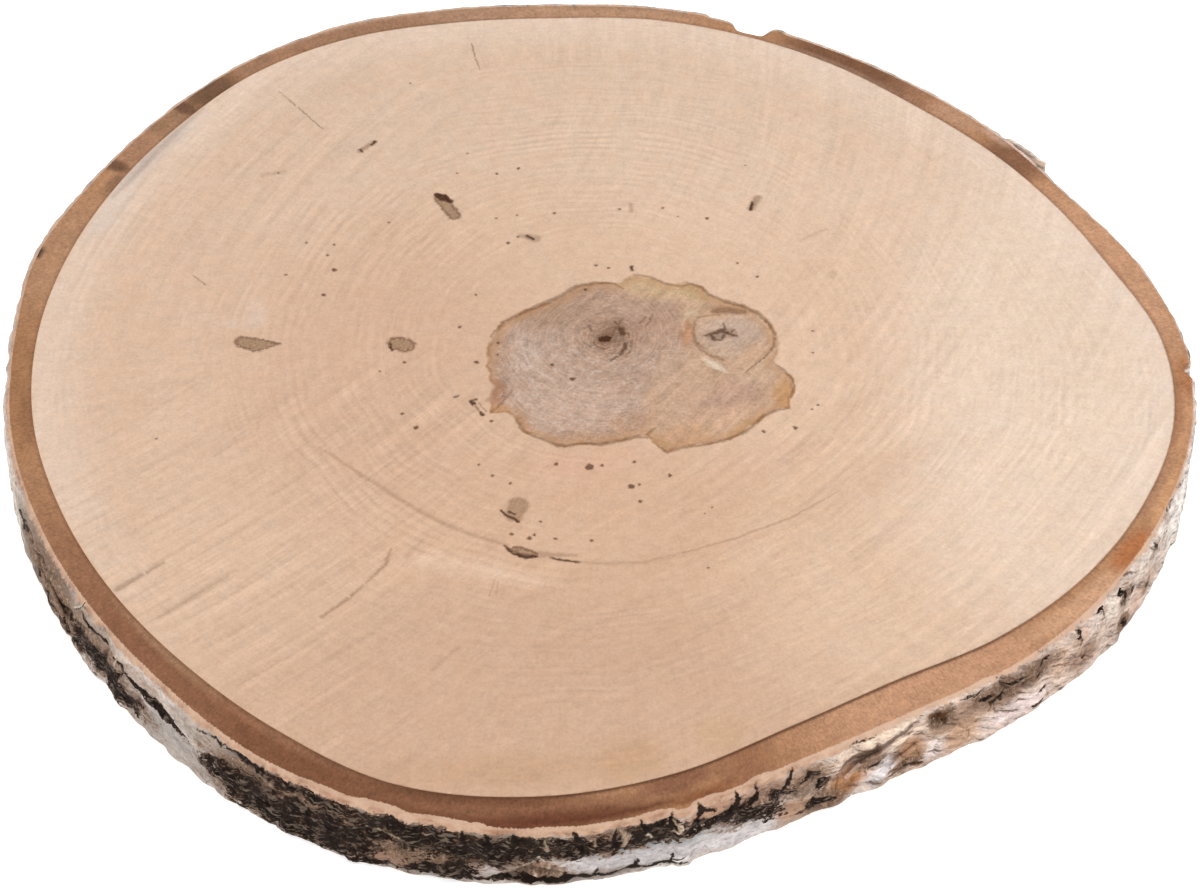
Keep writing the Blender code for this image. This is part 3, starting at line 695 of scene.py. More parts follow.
# Strokes on the wall: a look and places of bearing, height, half width
WALL_MARKS = (
    ("tooth", (267.3, 23.0, 0.36), (267.8, 20.5, 1.01), (268.4, 18, 0.72)),
    ("tooth", (270.9, 21.5, 0.29), (270.7, 18, 0.72), (271.2, 13, 0.72)),
    ("tooth", (272.9, 22.9, 0.43), (273.2, 20, 1.01), (273.6, 17.5, 0.72)),
    ("tooth", (275.5, 22.6, 0.43), (275.3, 20, 0.72), (275.9, 17, 0.72)),
    ("tooth", (277.9, 23.3, 0.43), (278.1, 21, 1.09), (277.6, 18.6, 0.72), (277.8, 16, 0.58)),
    ("tooth", (278.1, 21, 0.58), (279.2, 19.6, 0.58)),
    ("tooth", (281.2, 23, 0.36), (281.4, 20.5, 0.87), (281.1, 17.5, 1.16), (280.6, 14.5, 0.72)),
    ("tooth", (281.3, 17.6, 0.58), (282.2, 18.4, 0.43)),
    ("tooth", (281.1, 16.5, 0.58), (282.2, 14.8, 0.58), (283.4, 14.6, 0.43)),
    ("tooth", (283, 22.4, 0.29), (283.2, 20.5, 0.72), (283.1, 18.4, 1.01), (282.5, 16.5, 0.58)),
    ("tooth", (286.7, 22.8, 0.29), (286.4, 20.4, 0.72), (285.8, 17.5, 0.8), (285.2, 15.6, 0.58)),
    ("tooth", (263.6, 2.4, .9), (266, 2.8, 1.2), (268, 3.0, 1.1), (270, 2.6, .8), (272.5, 3.2, 1.1),
     (275, 3.2, .8), (276, 2.2, .7), (276.8, 1.4, .3)),
    ("tooth", (266.6, 3, 0.7), (266.8, 5.8, 0.4)),
    ("tooth", (269.0, 3, 0.8), (269.4, 5.4, 0.4)),
    ("tooth", (272.4, 3.4, 0.9), (272.6, 6.6, 0.5)),
    ("tooth", (275.4, 3, 0.7), (275.6, 6.2, 0.4)),
    ("tooth", (275.5, 3.6, 0.51), (276.6, 4.8, 0.36)),
    # A painted shadow: the dark line under the lifted edge of the loose strip between 291 and 300
    # degrees
    ("line", (291.4, 15.6, .4), (292.8, 17, 1.3), (294.6, 17.6, 1.1), (297.2, 19.2, .9),
     (299.8, 20.8, .4)),
    ("line", (291.2, 14, .2), (291.0, 9, .4), (291.3, 4, .2)),
    ("line", (292.6, 12, .2), (292.8, 7, .35)),
    ("line", (294.0, 13, .2), (294.2, 8, .35)),
    ("line", (290.2, 12.5, .3), (289.9, 8, .45)),
    ("line", (297.6, 12, .2), (298.4, 8, .35), (298.2, 4, .2)),
    ("line", (299.4, 11, .2), (299.8, 7, .35)),
    ("line", (296.6, 5, .3), (298.6, 3.4, .6), (300.2, 2.6, .3)),
    ("line", (304.2, 12, .2), (305.4, 7, .3), (305.2, 3, .2)),
    ("line", (315.2, 14, .2), (317.4, 10.4, .35)),
    ("line", (316.4, 12, .2), (318.6, 7, .35), (319.8, 3.4, .2)),
    ("line", (317.6, 13, .2), (319.2, 9.6, .6), (320.8, 4.6, .2)),
    ("line", (308, 11.6, .3), (308.6, 8.8, .4)),
    ("line", (322.6, 9, .2), (324, 4.6, .35)),
    ("line", (329.6, 11.6, .2), (330.8, 8, .6), (331.6, 5, .2)),
    ("rust", (294.6, 16.6, .5), (297.4, 17.8, .5), (300.4, 19.8, .3)),
    ("rust", (291.6, 13.6, .25), (292.4, 8.6, .35), (292.0, 4, .25)),
    ("rust", (293.4, 13, .2), (293.6, 7, .3)),
    ("tooth", (292.6, 22.5, .15), (294, 22.2, .35), (295.2, 22.4, .15)),
    ("line", (300.8, 21.8, .3), (301.4, 20, 1.2), (302.4, 18.4, 1.1), (302.6, 15.6, .4)),
    ("line", (302.2, 19.4, .7), (303.6, 20.6, .3)),
    ("tooth", (304.4, 21.2, .2), (305.2, 21.8, .5), (306, 21.4, .2)),
    ("tooth", (318.3, 22, .4), (318.7, 19.6, .7), (318.9, 16.6, .3)),
    ("tooth", (321.4, 21.6, .4), (322.3, 21.4, .5), (322.3, 17.4, .2)),
    ("tooth", (325, 21, .4), (325.8, 18.8, .7), (325.7, 13.6, .4)),
    ("rust", (319, 11, .4), (319.4, 8.6, .5)),
    ("rust", (313, 15, .2), (315.4, 11.2, .3), (317.2, 8.4, .2)),
    ("rust", (314.4, 15.4, .2), (316.6, 11.4, .3), (318.2, 9.4, .2)),
    ("rust", (308, 11.4, .3), (308.4, 8.8, .4)),
    ("rust", (314.6, 7.4, .3), (315.4, 6.6, .2)),
    ("rust", (315, 3, .2), (318.6, 2.6, .3)),
    ("rust", (335.2, 22.6, .3), (337.4, 23.2, .25)),
    ("tooth", (336.2, 22.7, 0.29), (338.2, 22.9, 0.22)),
    ("tooth", (355.5, 23.4, .4), (356.2, 22.4, .7), (356.8, 20.6, .3)),
    ("shade", (202.5, 21.6, .3), (208, 21.4, .3), (214, 21, .2)),
    ("light", (216.6, 23.6, .3), (215.6, 20, .4), (214.6, 17.4, .2)),
    ("tooth", (216.7, 24.5, 0.22), (216.3, 22, 0.36), (215.2, 18, 0.22)),
    ("light", (222.8, 21, .3), (222.2, 15.5, .4)),
    ("tooth", (259.2, 6, 0.72), (259, 2.6, 0.87), (259.2, .8, 0.43)),
    ("tooth", (234, 21.6, 0.29), (237, 21.7, 0.43), (241, 21.5, 0.43)),
    ("tooth", (258.6, 22, 0.43), (258.9, 18, 0.87), (258.6, 13, 0.72)),
    ("tooth", (260.4, 22, 0.43), (260.8, 19, 0.87), (261.4, 15, 0.72)),
    ("tooth", (262.6, 21.6, 0.43), (262.8, 18.4, 0.87), (262.4, 14, 0.58)),
    ("tan", (265.2, 20.4, .3), (265.3, 16, .5)),
    ("tan", (271.3, 20.6, .4), (271.7, 17.4, 1.0), (271.4, 14.6, .6)),
    ("tan", (275.6, 20, .5), (276.1, 17.4, 1.0), (275.6, 15.6, .4)),
    ("tan", (268.9, 20, .4), (269.2, 17, .6)),
    ("tan", (262.6, 20.4, .3), (262.9, 16.6, .4)),
    ("tan", (255.4, 18, .3), (256.6, 17.4, .4)),
    ("tan", (250.6, 15.4, .3), (253.4, 14.6, .4)),
    ("light", (273.5, 16.8, .5), (273.8, 15.2, .4)),
    ("light", (275.9, 18.8, .25), (276.4, 17.2, .3), (275.8, 15.8, .25)),
    ("light", (296.4, 14.6, .3), (299, 16.6, .5), (302, 19.6, .3)),
    ("light", (264.6, 12.6, .3), (265.2, 10.6, .3)),
    ("light", (263.4, 11.4, .2), (263.5, 8.6, .3)),
    ("light", (265.5, 9.4, .2), (265.3, 5.8, .35)),
    ("light", (264.2, 6.6, .2), (264.4, 4.2, .3)),
    ("rust", (290.7, 12, .2), (290.6, 6, .35)),
    ("rust", (292.9, 10.6, .2), (293.1, 4.6, .3)),
    ("line", (318.3, 22.2, .2), (318.8, 17.4, .6), (318.5, 13.2, .2)),
    ("line", (325.1, 21.6, .2), (326, 17, .6), (326.2, 12, .3)),
    ("line", (331.2, 22.4, .2), (332.3, 18.4, .6), (333.6, 14.4, .2)),
    ("line", (307.6, 20, .2), (308.2, 15.6, .6), (307.4, 12.4, .3)),
)

# Strokes are drawn in two layers. Each face carries its nearest stroke in four attributes.
BROAD_LOOKS = ("fleck", "greyish", "shade", "scratch", "smear", "ring", "brown", "rust", "tan")
LAYERS = ("broad", "fine")
STROKE_PARTS = ("start", "end", "shape", "look")
# Tone of a stroke and its colour, above the darkest one that each material gives
STROKE_TINTS = ((0.25, (110, 70, 42)), (0.5, (164, 131, 101)), (1.0, (246, 229, 206)))
# Where a patch starts to fade and where it ends, in its own half sizes
PATCH_FADE = (0.45, 1.25)
# Faces that no stroke may reach are moved this far off
FAR_MM = 1000.0

# Random short lines on the hidden bark: bearings, heights, lengths in degrees, half widths
HIDDEN_SEED = 7
HIDDEN_LENTICELS = 150
HIDDEN_BEARINGS = (-18.0, 198.0)
HIDDEN_HEIGHTS_MM = (1.0, 22.0)
HIDDEN_LENGTHS = (0.4, 2.6)
HIDDEN_WIDTHS_MM = (0.15, 0.5)
HIDDEN_TILTS_MM = (-0.3, 0.3)

# How the surfaces shine, and the height of their finest relief in metres
SPECULAR = 0.06
WOOD_ROUGHNESS = 0.64
BARK_ROUGHNESS = 0.68
WOOD_BUMP = 0.0002
BARK_BUMP = 0.0007


def srgb(red, green, blue, lit=LIT_SHARE):
    """The surface colour that looks like this one, from 0 to 255, under the studio light."""
    shares = [value / 255.0 for value in (red, green, blue)]
    return tuple(lit * ((share + 0.055) / 1.055) ** 2.4 for share in shares)


def wall_srgb(red, green, blue):
    """A colour as it looks on the upright bark, painted a little brighter to make up for the shade
    it gets.
    """
    return srgb(red, green, blue, lit=WALL_LIT_SHARE)


# Colours of the wood
PALE_WOOD = srgb(222, 189, 162)
# Pale outer wood, partly its own tone and partly a painted sheen of the light
OUTER_WOOD_AND_SHEEN = srgb(238, 217, 200)
HEART_WOOD = srgb(202, 167, 140)
CORE_WOOD = srgb(188, 157, 137)
HEART_RIM = srgb(160, 108, 58)
HEART_GLOW = srgb(196, 144, 98)
CHALK = srgb(225, 208, 196)
PALE_CAMBIUM = srgb(232, 186, 146)
DARK_CAMBIUM = srgb(122, 78, 50)
WOOD_DARKEST = srgb(60, 28, 4)
# Factors for each part of its colour
COOL_TINT = (1.0, 1.008, 1.02)
WARM_TINT = (1.0, 0.976, 0.958)

# Colours of the bark. A ramp gives a colour for each value of the noise that it follows.
INNER_BROWN = srgb(184, 136, 100)
INNER_CAMBIUM = srgb(98, 60, 38)
# A painted highlight along the top of the cork edge
CORK_TOP_HIGHLIGHT = srgb(226, 190, 164)
CORK_RIGHT = srgb(234, 198, 172)
CORK_RAMP = (
    (0.32, srgb(170, 128, 102)), (0.46, srgb(196, 156, 130)), (0.64, srgb(214, 178, 152)),
)
SKIN_RAMP = (
    (0.30, wall_srgb(170, 148, 132)), (0.44, wall_srgb(212, 198, 188)),
    (0.60, wall_srgb(234, 226, 220)), (0.72, wall_srgb(212, 188, 170)),
)
# The most that each part of the skin's colour reaches
WHITEST_SKIN = (0.9, 0.88, 0.86)
SKIN_FLECK = wall_srgb(112, 88, 70)
SKIN_CRACK = wall_srgb(104, 78, 62)
BROWN_RAMP = (
    (0.30, wall_srgb(78, 57, 45)), (0.44, wall_srgb(118, 92, 74)),
    (0.56, wall_srgb(142, 114, 94)), (0.70, wall_srgb(190, 162, 140)),
)
BLACK_RAMP = (
    (0.0, wall_srgb(96, 71, 55)), (0.2, wall_srgb(54, 38, 29)), (0.6, wall_srgb(25, 16, 11)),
)
CRUST_FLAKE = wall_srgb(178, 154, 136)
# Painted shade in the cracks between the plates
CRACK_SHADE = wall_srgb(48, 38, 33)
BARK_DARKEST = wall_srgb(28, 18, 12)
FLOOR_COLOURS = (srgb(248, 248, 248, lit=1.0), srgb(251, 251, 250, lit=1.0))


# Form

def ring_value(values, bearing):
    """Read evenly spaced values round the pith as one smooth closed curve."""
    table = np.asarray(values)
    place = np.asarray(bearing) % 360.0 / 360.0 * len(table)
    first = place.astype(int)
    step = place - first
    before, start, end, after = (table[(first + k) % len(table)] for k in (-1, 0, 1, 2))
    slope = end - before
    bend = 2.0 * before - 5.0 * start + 4.0 * end - after
    twist = 3.0 * (start - end) + after - before
    return start + 0.5 * step * (slope + step * (bend + step * twist))


def turn_from(bearing, other):
    """Signed angle from one bearing to another, in degrees."""
    return (bearing - other + 180.0) % 360.0 - 180.0


def on_cylinder(bearing, height_mm, size_mm, layer=0.0):
    """Place in noise space, so that the bark pattern closes round the trunk."""
    angle = math.radians(bearing)
    across, up = size_mm
    reach = WALL_RADIUS_MM / across
    return Vector((math.cos(angle) * reach, math.sin(angle) * reach, height_mm / up + layer))


def drum_place(bearing, height_mm):
    """Place on the drum that stands for the unrolled wall, where its patterns are drawn."""
    angle = np.radians(bearing)
    return WALL_RADIUS_MM * np.cos(angle), WALL_RADIUS_MM * np.sin(angle), height_mm


def front(bearing):
    """1 on the rough front of the bark, 0 at the back."""
    return 0.5 - 0.5 * np.sin(np.radians(bearing))


def bites_mm(bearing, bites, sharpness):
    """Depth bitten out at a bearing. Each bite has a bearing, half width and depth."""
    turns = [(np.abs(turn_from(bearing, middle) / half), depth) for middle, half, depth in bites]
    return sum(depth / (1.0 + turn ** sharpness) for turn, depth in turns)


def torn_mm(bearing):
    """Depth of bark missing at a bearing, negative where a scrap stands proud."""
    return bites_mm(bearing, TORN_PLACES, 8)


def inner_bark_edge_mm(bearings):
    """Radius at which the inner bark ends, without its small chips."""
    return ring_value(WOOD_RADII_MM, bearings) + (
        ring_value(INNER_BARK_MM, bearings) - torn_mm(bearings))


def rim_radius_mm(bearings):
    """Outer edge of the flat sawn face, where the inner bark ends in small chips."""
    places = [on_cylinder(b, 0.0, LUMP_SIZE_MM, CHIP_LAYER) for b in bearings]
    chips = np.array([noise.noise(place) for place in places])
    return inner_bark_edge_mm(bearings) + chips * (RIM_CHIP_MM * (SMOOTH_BARK + front(bearings)))


def cork_drop_mm(bearing):
    """Height of the slanted, chipped edge: tall at the front, almost nothing at the back."""
    return CORK_DROP_BACK_MM + (CORK_DROP_FRONT_MM - CORK_DROP_BACK_MM) * front(bearing)


def cork_slant(bearing, height_mm):
    """1 at the rim, 0 from the foot of the slanted cork edge downward."""
    return np.maximum(0.0, 1.0 - (THICKNESS_MM - height_mm) / cork_drop_mm(bearing))


def relief_mm(bearing, height_mm):
    """Height of plates and lumps, less the cracks between the plates, and the cracks alone."""
    distances, centres = noise.voronoi(on_cylinder(bearing, height_mm, PLATE_SIZE_MM))
    level = noise.noise(centres[0] * PLATE_LEVELS)
    crack = max(0.0, 1.0 - (distances[1] - distances[0]) / CRACK_WIDTH)
    lumps = noise.noise(on_cylinder(bearing, height_mm, LUMP_SIZE_MM, LUMP_LAYER))
    raised = PLATE_HEIGHT_MM * level + LUMP_HEIGHT_MM * lumps
    return raised - CRACK_DEPTH_MM * crack, crack


def bark_depth_mm(bearing, height_mm):
    """Mean depth of the outer bark: a slanted cork edge above, and a slight spread below it."""
    spread = ring_value(OUTER_BARK_MM, bearing) - CORK_DEPTH_MM
    lower = np.clip((THICKNESS_MM - height_mm) / THICKNESS_MM, 0.0, 1.0)
    foot_cut = FOOT_CUT_MM * np.maximum(0.0, 1.0 - height_mm / FOOT_HEIGHT_MM)
    cork = CORK_DEPTH_MM * (1.0 - cork_slant(bearing, height_mm) ** CORK_POWER)
    depth = cork + spread * lower ** SPREAD_POWER - foot_cut
    return depth * (1.0 - np.maximum(torn_mm(bearing), 0.0) / BARE_FROM_MM)


def round_pith(bearings, radii_mm, heights_mm):
    """Points in millimetres, in rows of x, y and z."""
    angles = np.radians(bearings)
    x = PITH_MM[0] + radii_mm * np.cos(angles)
    y = PITH_MM[1] + radii_mm * np.sin(angles)
    return np.stack(np.broadcast_arrays(x, y, heights_mm), axis=-1).reshape(-1, 3)


# Marks and patches

def smooth_step(value, low, high):
    share = np.clip((value - low) / (high - low), 0.0, 1.0)
    return share * share * (3.0 - 2.0 * share)


def give(mesh, name, *parts, domain="POINT"):
    """Store a number, or a vector of three parts, at every point or face of a mesh."""
    kind, field = ("FLOAT", "value") if len(parts) == 1 else ("FLOAT_VECTOR", "vector")
    values = np.stack(np.broadcast_arrays(*parts), axis=-1).astype(np.float32)
    mesh.attributes.new(name, kind, domain).data.foreach_set(field, values.ravel())


def strokes_of(marks, spot):
    """Split every mark into straight strokes: its look, and both ends with half widths."""
    for look, *stops in marks:
        ends = [(np.array(spot(first, second)), width) for first, second, width in stops]
        yield from ((look, *pair) for pair in zip(ends, ends[1:] or ends))


def give_strokes(mesh, layer, centres, strokes):
    """Tell every face which stroke of a layer runs nearest to it, for the material to draw."""
    nearest = np.full(len(centres), np.inf)
    parts = [np.zeros((len(centres), 3)) for _ in STROKE_PARTS]
    for look, (head, head_width), (tail, tail_width) in strokes:
        along = tail - head
        length = max(float(along @ along), 1e-9)
        share = np.clip((centres - head) @ along / length, 0.0, 1.0)
        off = centres - head - share[:, None] * along
        half_width = head_width + share * (tail_width - head_width)
        gap = np.sqrt((off * off).sum(axis=1)) - half_width
        strength, softness, tone, outline = MARK_LOOKS[look]
        shape = (head_width, tail_width, softness)
        closer = gap < nearest
        nearest[closer] = gap[closer]
        for part, value in zip(parts, (head, tail, shape, (strength, tone, outline))):
            part[closer] = value
    for name, part in zip(STROKE_PARTS, parts):
        give(mesh, f"{layer}_{name}", *part.T, domain="FACE")


def give_marks(mesh, centres, marks, spot):
    """Broad marks go below, and fine dark or pale strokes are drawn over them."""
    for layer in LAYERS:
        chosen = [mark for mark in marks if (mark[0] in BROAD_LOOKS) == (layer == "broad")]
        give_strokes(mesh, layer, centres, strokes_of(chosen, spot))


def patch_distance(first, second, patch, turning):
    """Distance from a patch's middle in units of its own half sizes, 1 on its edge."""
    middle, other, half_width, half_height, lean = patch[:5]
    up = second - other
    if turning:
        across = turn_from(first, middle)
        up = up - lean * across
    else:
        cosine, sine = math.cos(math.radians(lean)), math.sin(math.radians(lean))
        across = first - middle
        across, up = across * cosine + up * sine, up * cosine - across * sine
    return np.hypot(across / half_width, up / half_height)


def paint(mesh, name, first, second, patches, turning=False, lit=LIT_SHARE):
    """Lay soft patches of colour over each other, as one colour with its own opacity."""
    colour = np.zeros((*first.shape, 3))
    cover = np.zeros(first.shape)
    for patch in patches:
        distance = patch_distance(first, second, patch, turning)
        share = patch[6] * (1.0 - smooth_step(distance, *PATCH_FADE))
        patch_colour = np.array(srgb(*patch[5], lit=lit))
        colour = colour * (1.0 - share[..., None]) + patch_colour * share[..., None]
        cover = cover * (1.0 - share) + share
    give(mesh, name, *np.moveaxis(colour, -1, 0))
    give(mesh, name + "_cover", cover)


def crust_field(bearings, heights, crusts):
    """1 in the middle of a crust, 0 on its edge and -1 well outside every one."""
    field = np.full(np.broadcast(bearings, heights).shape, -1.0)
    for crust in crusts:
        field = np.maximum(field, 1.0 - patch_distance(bearings, heights, crust, turning=True))
    return field


def edge_distance_mm(x, y, outline):
    """Signed distance to a closed outline, positive inside it."""
    corners = np.array(outline, dtype=float)
    nearest = np.full(x.shape, np.inf)
    inside = np.zeros(x.shape, dtype=bool)
    for (ax, ay), (bx, by) in zip(corners, np.roll(corners, -1, axis=0)):
        run, rise = bx - ax, by - ay
        share = np.clip(((x - ax) * run + (y - ay) * rise) / (run * run + rise * rise), 0.0, 1.0)
        nearest = np.minimum(nearest, np.hypot(x - ax - share * run, y - ay - share * rise))
        if rise:
            inside ^= ((ay > y) != (by > y)) & (x < run * (y - ay) / rise + ax)
    return np.where(inside, nearest, -nearest)


# Meshes

def mesh_object(name, points_mm, faces, material):
    """A smooth mesh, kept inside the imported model's box."""
    lowest, highest = (np.array(corner) for corner in cad_box)
    mesh = bpy.data.meshes.new(name)
    mesh.from_pydata(np.clip(points_mm * MM, lowest, highest).tolist(), [], faces)
    mesh.materials.append(material)
    mesh.shade_smooth()
    thing = bpy.data.objects.new(name, mesh)
    bpy.context.scene.collection.objects.link(thing)
    return thing


def set_uv(mesh, loop_places):
    layer = mesh.uv_layers.new(name="OFBake")
    layer.uv.foreach_set("vector", np.asarray(loop_places, dtype=np.float32).ravel())


def face_centres(mesh):
    """Middle of every face in millimetres, with x and y from the pith."""
    centres = np.zeros(len(mesh.polygons) * 3, dtype=np.float32)
    mesh.polygons.foreach_get("center", centres)
    return centres.reshape(-1, 3) / MM - np.array((*PITH_MM, 0.0))


def soft_noise(x, y, recipe):
    """Noise about 0 at places on a sawn face. Each part has a size, a layer and an amount."""
    places = list(zip(x.flat, y.flat))
    total = 0.0
    for size, layer, amount in recipe:
        field = [noise.noise(Vector((px / size, py / size, layer))) for px, py in places]
        total = total + amount * np.array(field)
    return total.reshape(x.shape)


def seen_share(places, bearing, radius):
    """How clearly lines are seen, from a list such as RINGS_SEEN."""
    share = np.zeros(radius.shape)
    for centre, half_width, low, high, strength in places:
        turn = np.exp(-(turn_from(bearing, centre) / half_width) ** 2)
        inside = smooth_step(radius, low - SEEN_FADE_IN_MM, low)
        inside = inside * (1.0 - smooth_step(radius, high, high + SEEN_FADE_OUT_MM))
        share = np.maximum(share, strength * turn * inside)
    return share


def ring_age_mm(bearing, radius):
    """Mean radius of the growth ring at a place: round at the pith, bark-shaped outside."""
    mean = np.mean(WOOD_RADII_MM)
    bulge = ring_value(WOOD_RADII_MM, bearing) / mean - 1.0
    age = radius
    for _ in range(RING_AGE_STEPS):
        age = radius / (1.0 + bulge * (age / mean) ** RING_AGE_POWER)
    return age


def give_saw_marks(mesh, x, y, bearing, radius, upper):
    """Distance to each centre of the saw marks, and the share of each family at a place."""
    side = 1.0 if upper else -1.0
    give(mesh, "saw_mm", *(np.hypot(x - side * cx, y - cy) for cx, cy in SAW_CENTRES_MM))
    outside = smooth_step(radius, *SAW_START_MM)
    lower_left, upper_left = (
        np.exp(-(turn_from(bearing, sector if upper else 180.0 - sector) / SAW_SPREAD) ** 4)
        * outside for sector in SAW_SECTORS
    )
    rest = (1.0 - np.maximum(lower_left, upper_left)) * outside
    give(mesh, "saw_share", rest, lower_left, upper_left)


def make_face_piece(name, upper, material):
    """Half the thickness of the wood: a sawn face over a plain body, closed all round."""
    columns = np.arange(FACE_COLUMNS) * 360.0 / FACE_COLUMNS
    edge = ring_value(WOOD_RADII_MM, columns)
    heart = np.linspace(0.0, HEART_REACH_MM, HEART_RINGS + 1)[1:]
    outer = np.linspace(0.0, 1.0, OUTER_RINGS + 1)[1:]
    radii = [np.full(FACE_COLUMNS, radius) for radius in heart]
    radii += [HEART_REACH_MM + share * (edge - HEART_REACH_MM) for share in outer]
    radii = np.array(radii + [edge + JOINT_OVERLAP_MM])
    rings = len(radii)
    x = radii * np.cos(np.radians(columns))
    y = radii * np.sin(np.radians(columns))

    surface = THICKNESS_MM - FACE_DEPTH_MM if upper else FACE_DEPTH_MM
    dip = -FACE_DIP_MM if upper else FACE_DIP_MM
    heights = surface + dip * (1.0 + soft_noise(x, y, ((FACE_DIP_SIZE_MM, surface, 1.0),)))
    heights[-1] = surface + dip
    points = np.concatenate((
        round_pith(columns, radii, heights), [[*PITH_MM, surface + dip]],
        round_pith(columns, radii[-1], HALF_DEPTH_MM), [[*PITH_MM, HALF_DEPTH_MM]],
    ))

    hub = rings * FACE_COLUMNS
    foot = hub + 1
    last = foot + FACE_COLUMNS
    outside = hub - FACE_COLUMNS
    faces = []
    for column in range(FACE_COLUMNS):
        after = (column + 1) % FACE_COLUMNS
        faces.append((hub, column, after))
        for base in range(0, outside, FACE_COLUMNS):
            above = base + FACE_COLUMNS
            faces.append((base + column, above + column, above + after, base + after))
        faces.append((outside + column, foot + column, foot + after, outside + after))
        faces.append((last, foot + after, foot + column))
    if not upper:
        faces = [face[::-1] for face in faces]

    piece = mesh_object(name, points, faces, material)
    mesh = piece.data
    px, py = points[:, 0] - PITH_MM[0], points[:, 1] - PITH_MM[1]
    radius = np.hypot(px, py)
    bearing = np.degrees(np.arctan2(py, px))
    give(mesh, "place_mm", px, py, points[:, 2])
    give(mesh, "ring_mm", ring_age_mm(bearing, radius) + soft_noise(px, py, RING_WARP))
    rings_seen = seen_share(RINGS_SEEN, bearing, radius) + soft_noise(px, py, RINGS_PATCHY)
    saw_seen = seen_share(SAW_SEEN, bearing, radius) + soft_noise(px, py, SAW_PATCHY)
    give(mesh, "tone", soft_noise(px, py, CLOUDS), rings_seen, saw_seen)
    give(mesh, "heart_mm", edge_distance_mm(px, py, HEART_OUTLINE))
    give(mesh, "core_mm", edge_distance_mm(px, py, CORE_OUTLINE))
    give(mesh, "edge_mm", ring_value(WOOD_RADII_MM, bearing) - radius)
    give_saw_marks(mesh, px, py, bearing, radius, upper)
    paint(mesh, "stain", px, py, FACE_PATCHES if upper else FACE_PATCHES[:BROAD_PATCHES])
    paint(mesh, "heart_stain", px, py, HEART_PATCHES)

    centres = face_centres(mesh)
    centres[:, 2] = 0.0
    marks = FACE_MARKS + tuple(("dot", dot) for dot in FACE_DOTS)
    if not upper:
        marks = tuple(mark for mark in marks if mark[0] != "scratch")
    give_marks(mesh, centres, marks, lambda first, second: (first, second, 0.0))

    # The face fills the map, with the side in a thin band round it and the back in one corner
    flat = np.stack((px, py), axis=-1) / (np.abs((px, py)).max() * UV_MARGIN)
    flat[foot:last] *= UV_SIDE_BAND
    corners = np.zeros(len(mesh.loops), dtype=np.int32)
    mesh.loops.foreach_get("vertex_index", corners)
    corners = corners.reshape(FACE_COLUMNS, -1)
    loops = 0.5 + 0.5 * flat[corners]
    loops[:, -3:] = UV_BACK_MIDDLE + UV_BACK_SIZE * flat[corners[:, -3:]]
    set_uv(mesh, loops)
    return piece


def bark_profile(bearings):
    """Radii and heights of the bark's lines of vertices, from the wood's edge out and under."""
    wood = ring_value(WOOD_RADII_MM, bearings)
    rim = rim_radius_mm(bearings)
    drop = cork_drop_mm(bearings)
    rim_shares = np.linspace(0.0, 1.0, RIM_BANDS + 1)[:-1]
    radii = [wood + share * (rim - wood) for share in rim_shares]
    heights = [np.full_like(wood, THICKNESS_MM) for _ in rim_shares]
    wall_top = THICKNESS_MM - drop
    levels = [THICKNESS_MM - drop * band / CORK_BANDS for band in range(CORK_BANDS)]
    levels += [
        wall_top + band / WALL_BANDS * (FOOT_HEIGHT_MM - wall_top) for band in range(WALL_BANDS)
    ]
    levels += [
        np.full_like(wood, FOOT_HEIGHT_MM * (1.0 - band / FOOT_BANDS))
        for band in range(FOOT_BANDS + 1)
    ]
    radii += [rim + bark_depth_mm(bearings, level) for level in levels]
    heights += levels
    foot = radii[-1]
    for share in np.linspace(0.0, 1.0, UNDER_BANDS + 1)[1:]:
        radii.append(foot + share * (wood - foot))
        heights.append(np.zeros_like(wood))
    return np.array(radii), np.array(heights)


def roughen(bearings, radii, heights, black, brown):
    """Raise plates, crusts and skin on the wall's lines, and hand back where the cracks run."""
    rough = SMOOTH_BARK + (1.0 - SMOOTH_BARK) * front(bearings)
    cracks = np.zeros_like(radii)
    for line in range(FIRST_WALL, LAST_WALL + 1):
        foot = np.minimum(heights[line] / FOOT_HEIGHT_MM, 1.0)
        foot = FOOT_RELIEF + (1.0 - FOOT_RELIEF) * foot
        fade = foot * (1.0 - cork_slant(bearings, heights[line])) ** RELIEF_POWER
        crusty = smooth_step(np.maximum(black[line], brown[line] - BROWN_CRUST_LESS), *CRUST_FADE)
        for column, bearing in enumerate(bearings):
            height = heights[line][column]
            relief, crack = relief_mm(bearing, height)
            extra = SKIN_HEIGHT_MM * noise.noise(on_cylinder(bearing, height, SKIN_SIZE_MM))
            if crusty[column] > 0.0:
                place = on_cylinder(bearing, height, CRUST_SIZE_MM, CRUST_LAYER)
                fine = FINE_RIDGE_SHARE * abs(noise.noise(place * FINE_RIDGE))
                ridge = abs(noise.noise(place)) + fine
                extra += crusty[column] * CRUST_HEIGHT_MM * (RIDGE_LEVEL - ridge)
            plates = rough[column] * relief * (PLATE_SHARE + CRUST_PLATE_SHARE * crusty[column])
            radii[line][column] += fade[column] * (plates + extra)
            cracks[line][column] = crack * fade[column] * crusty[column]
    return cracks


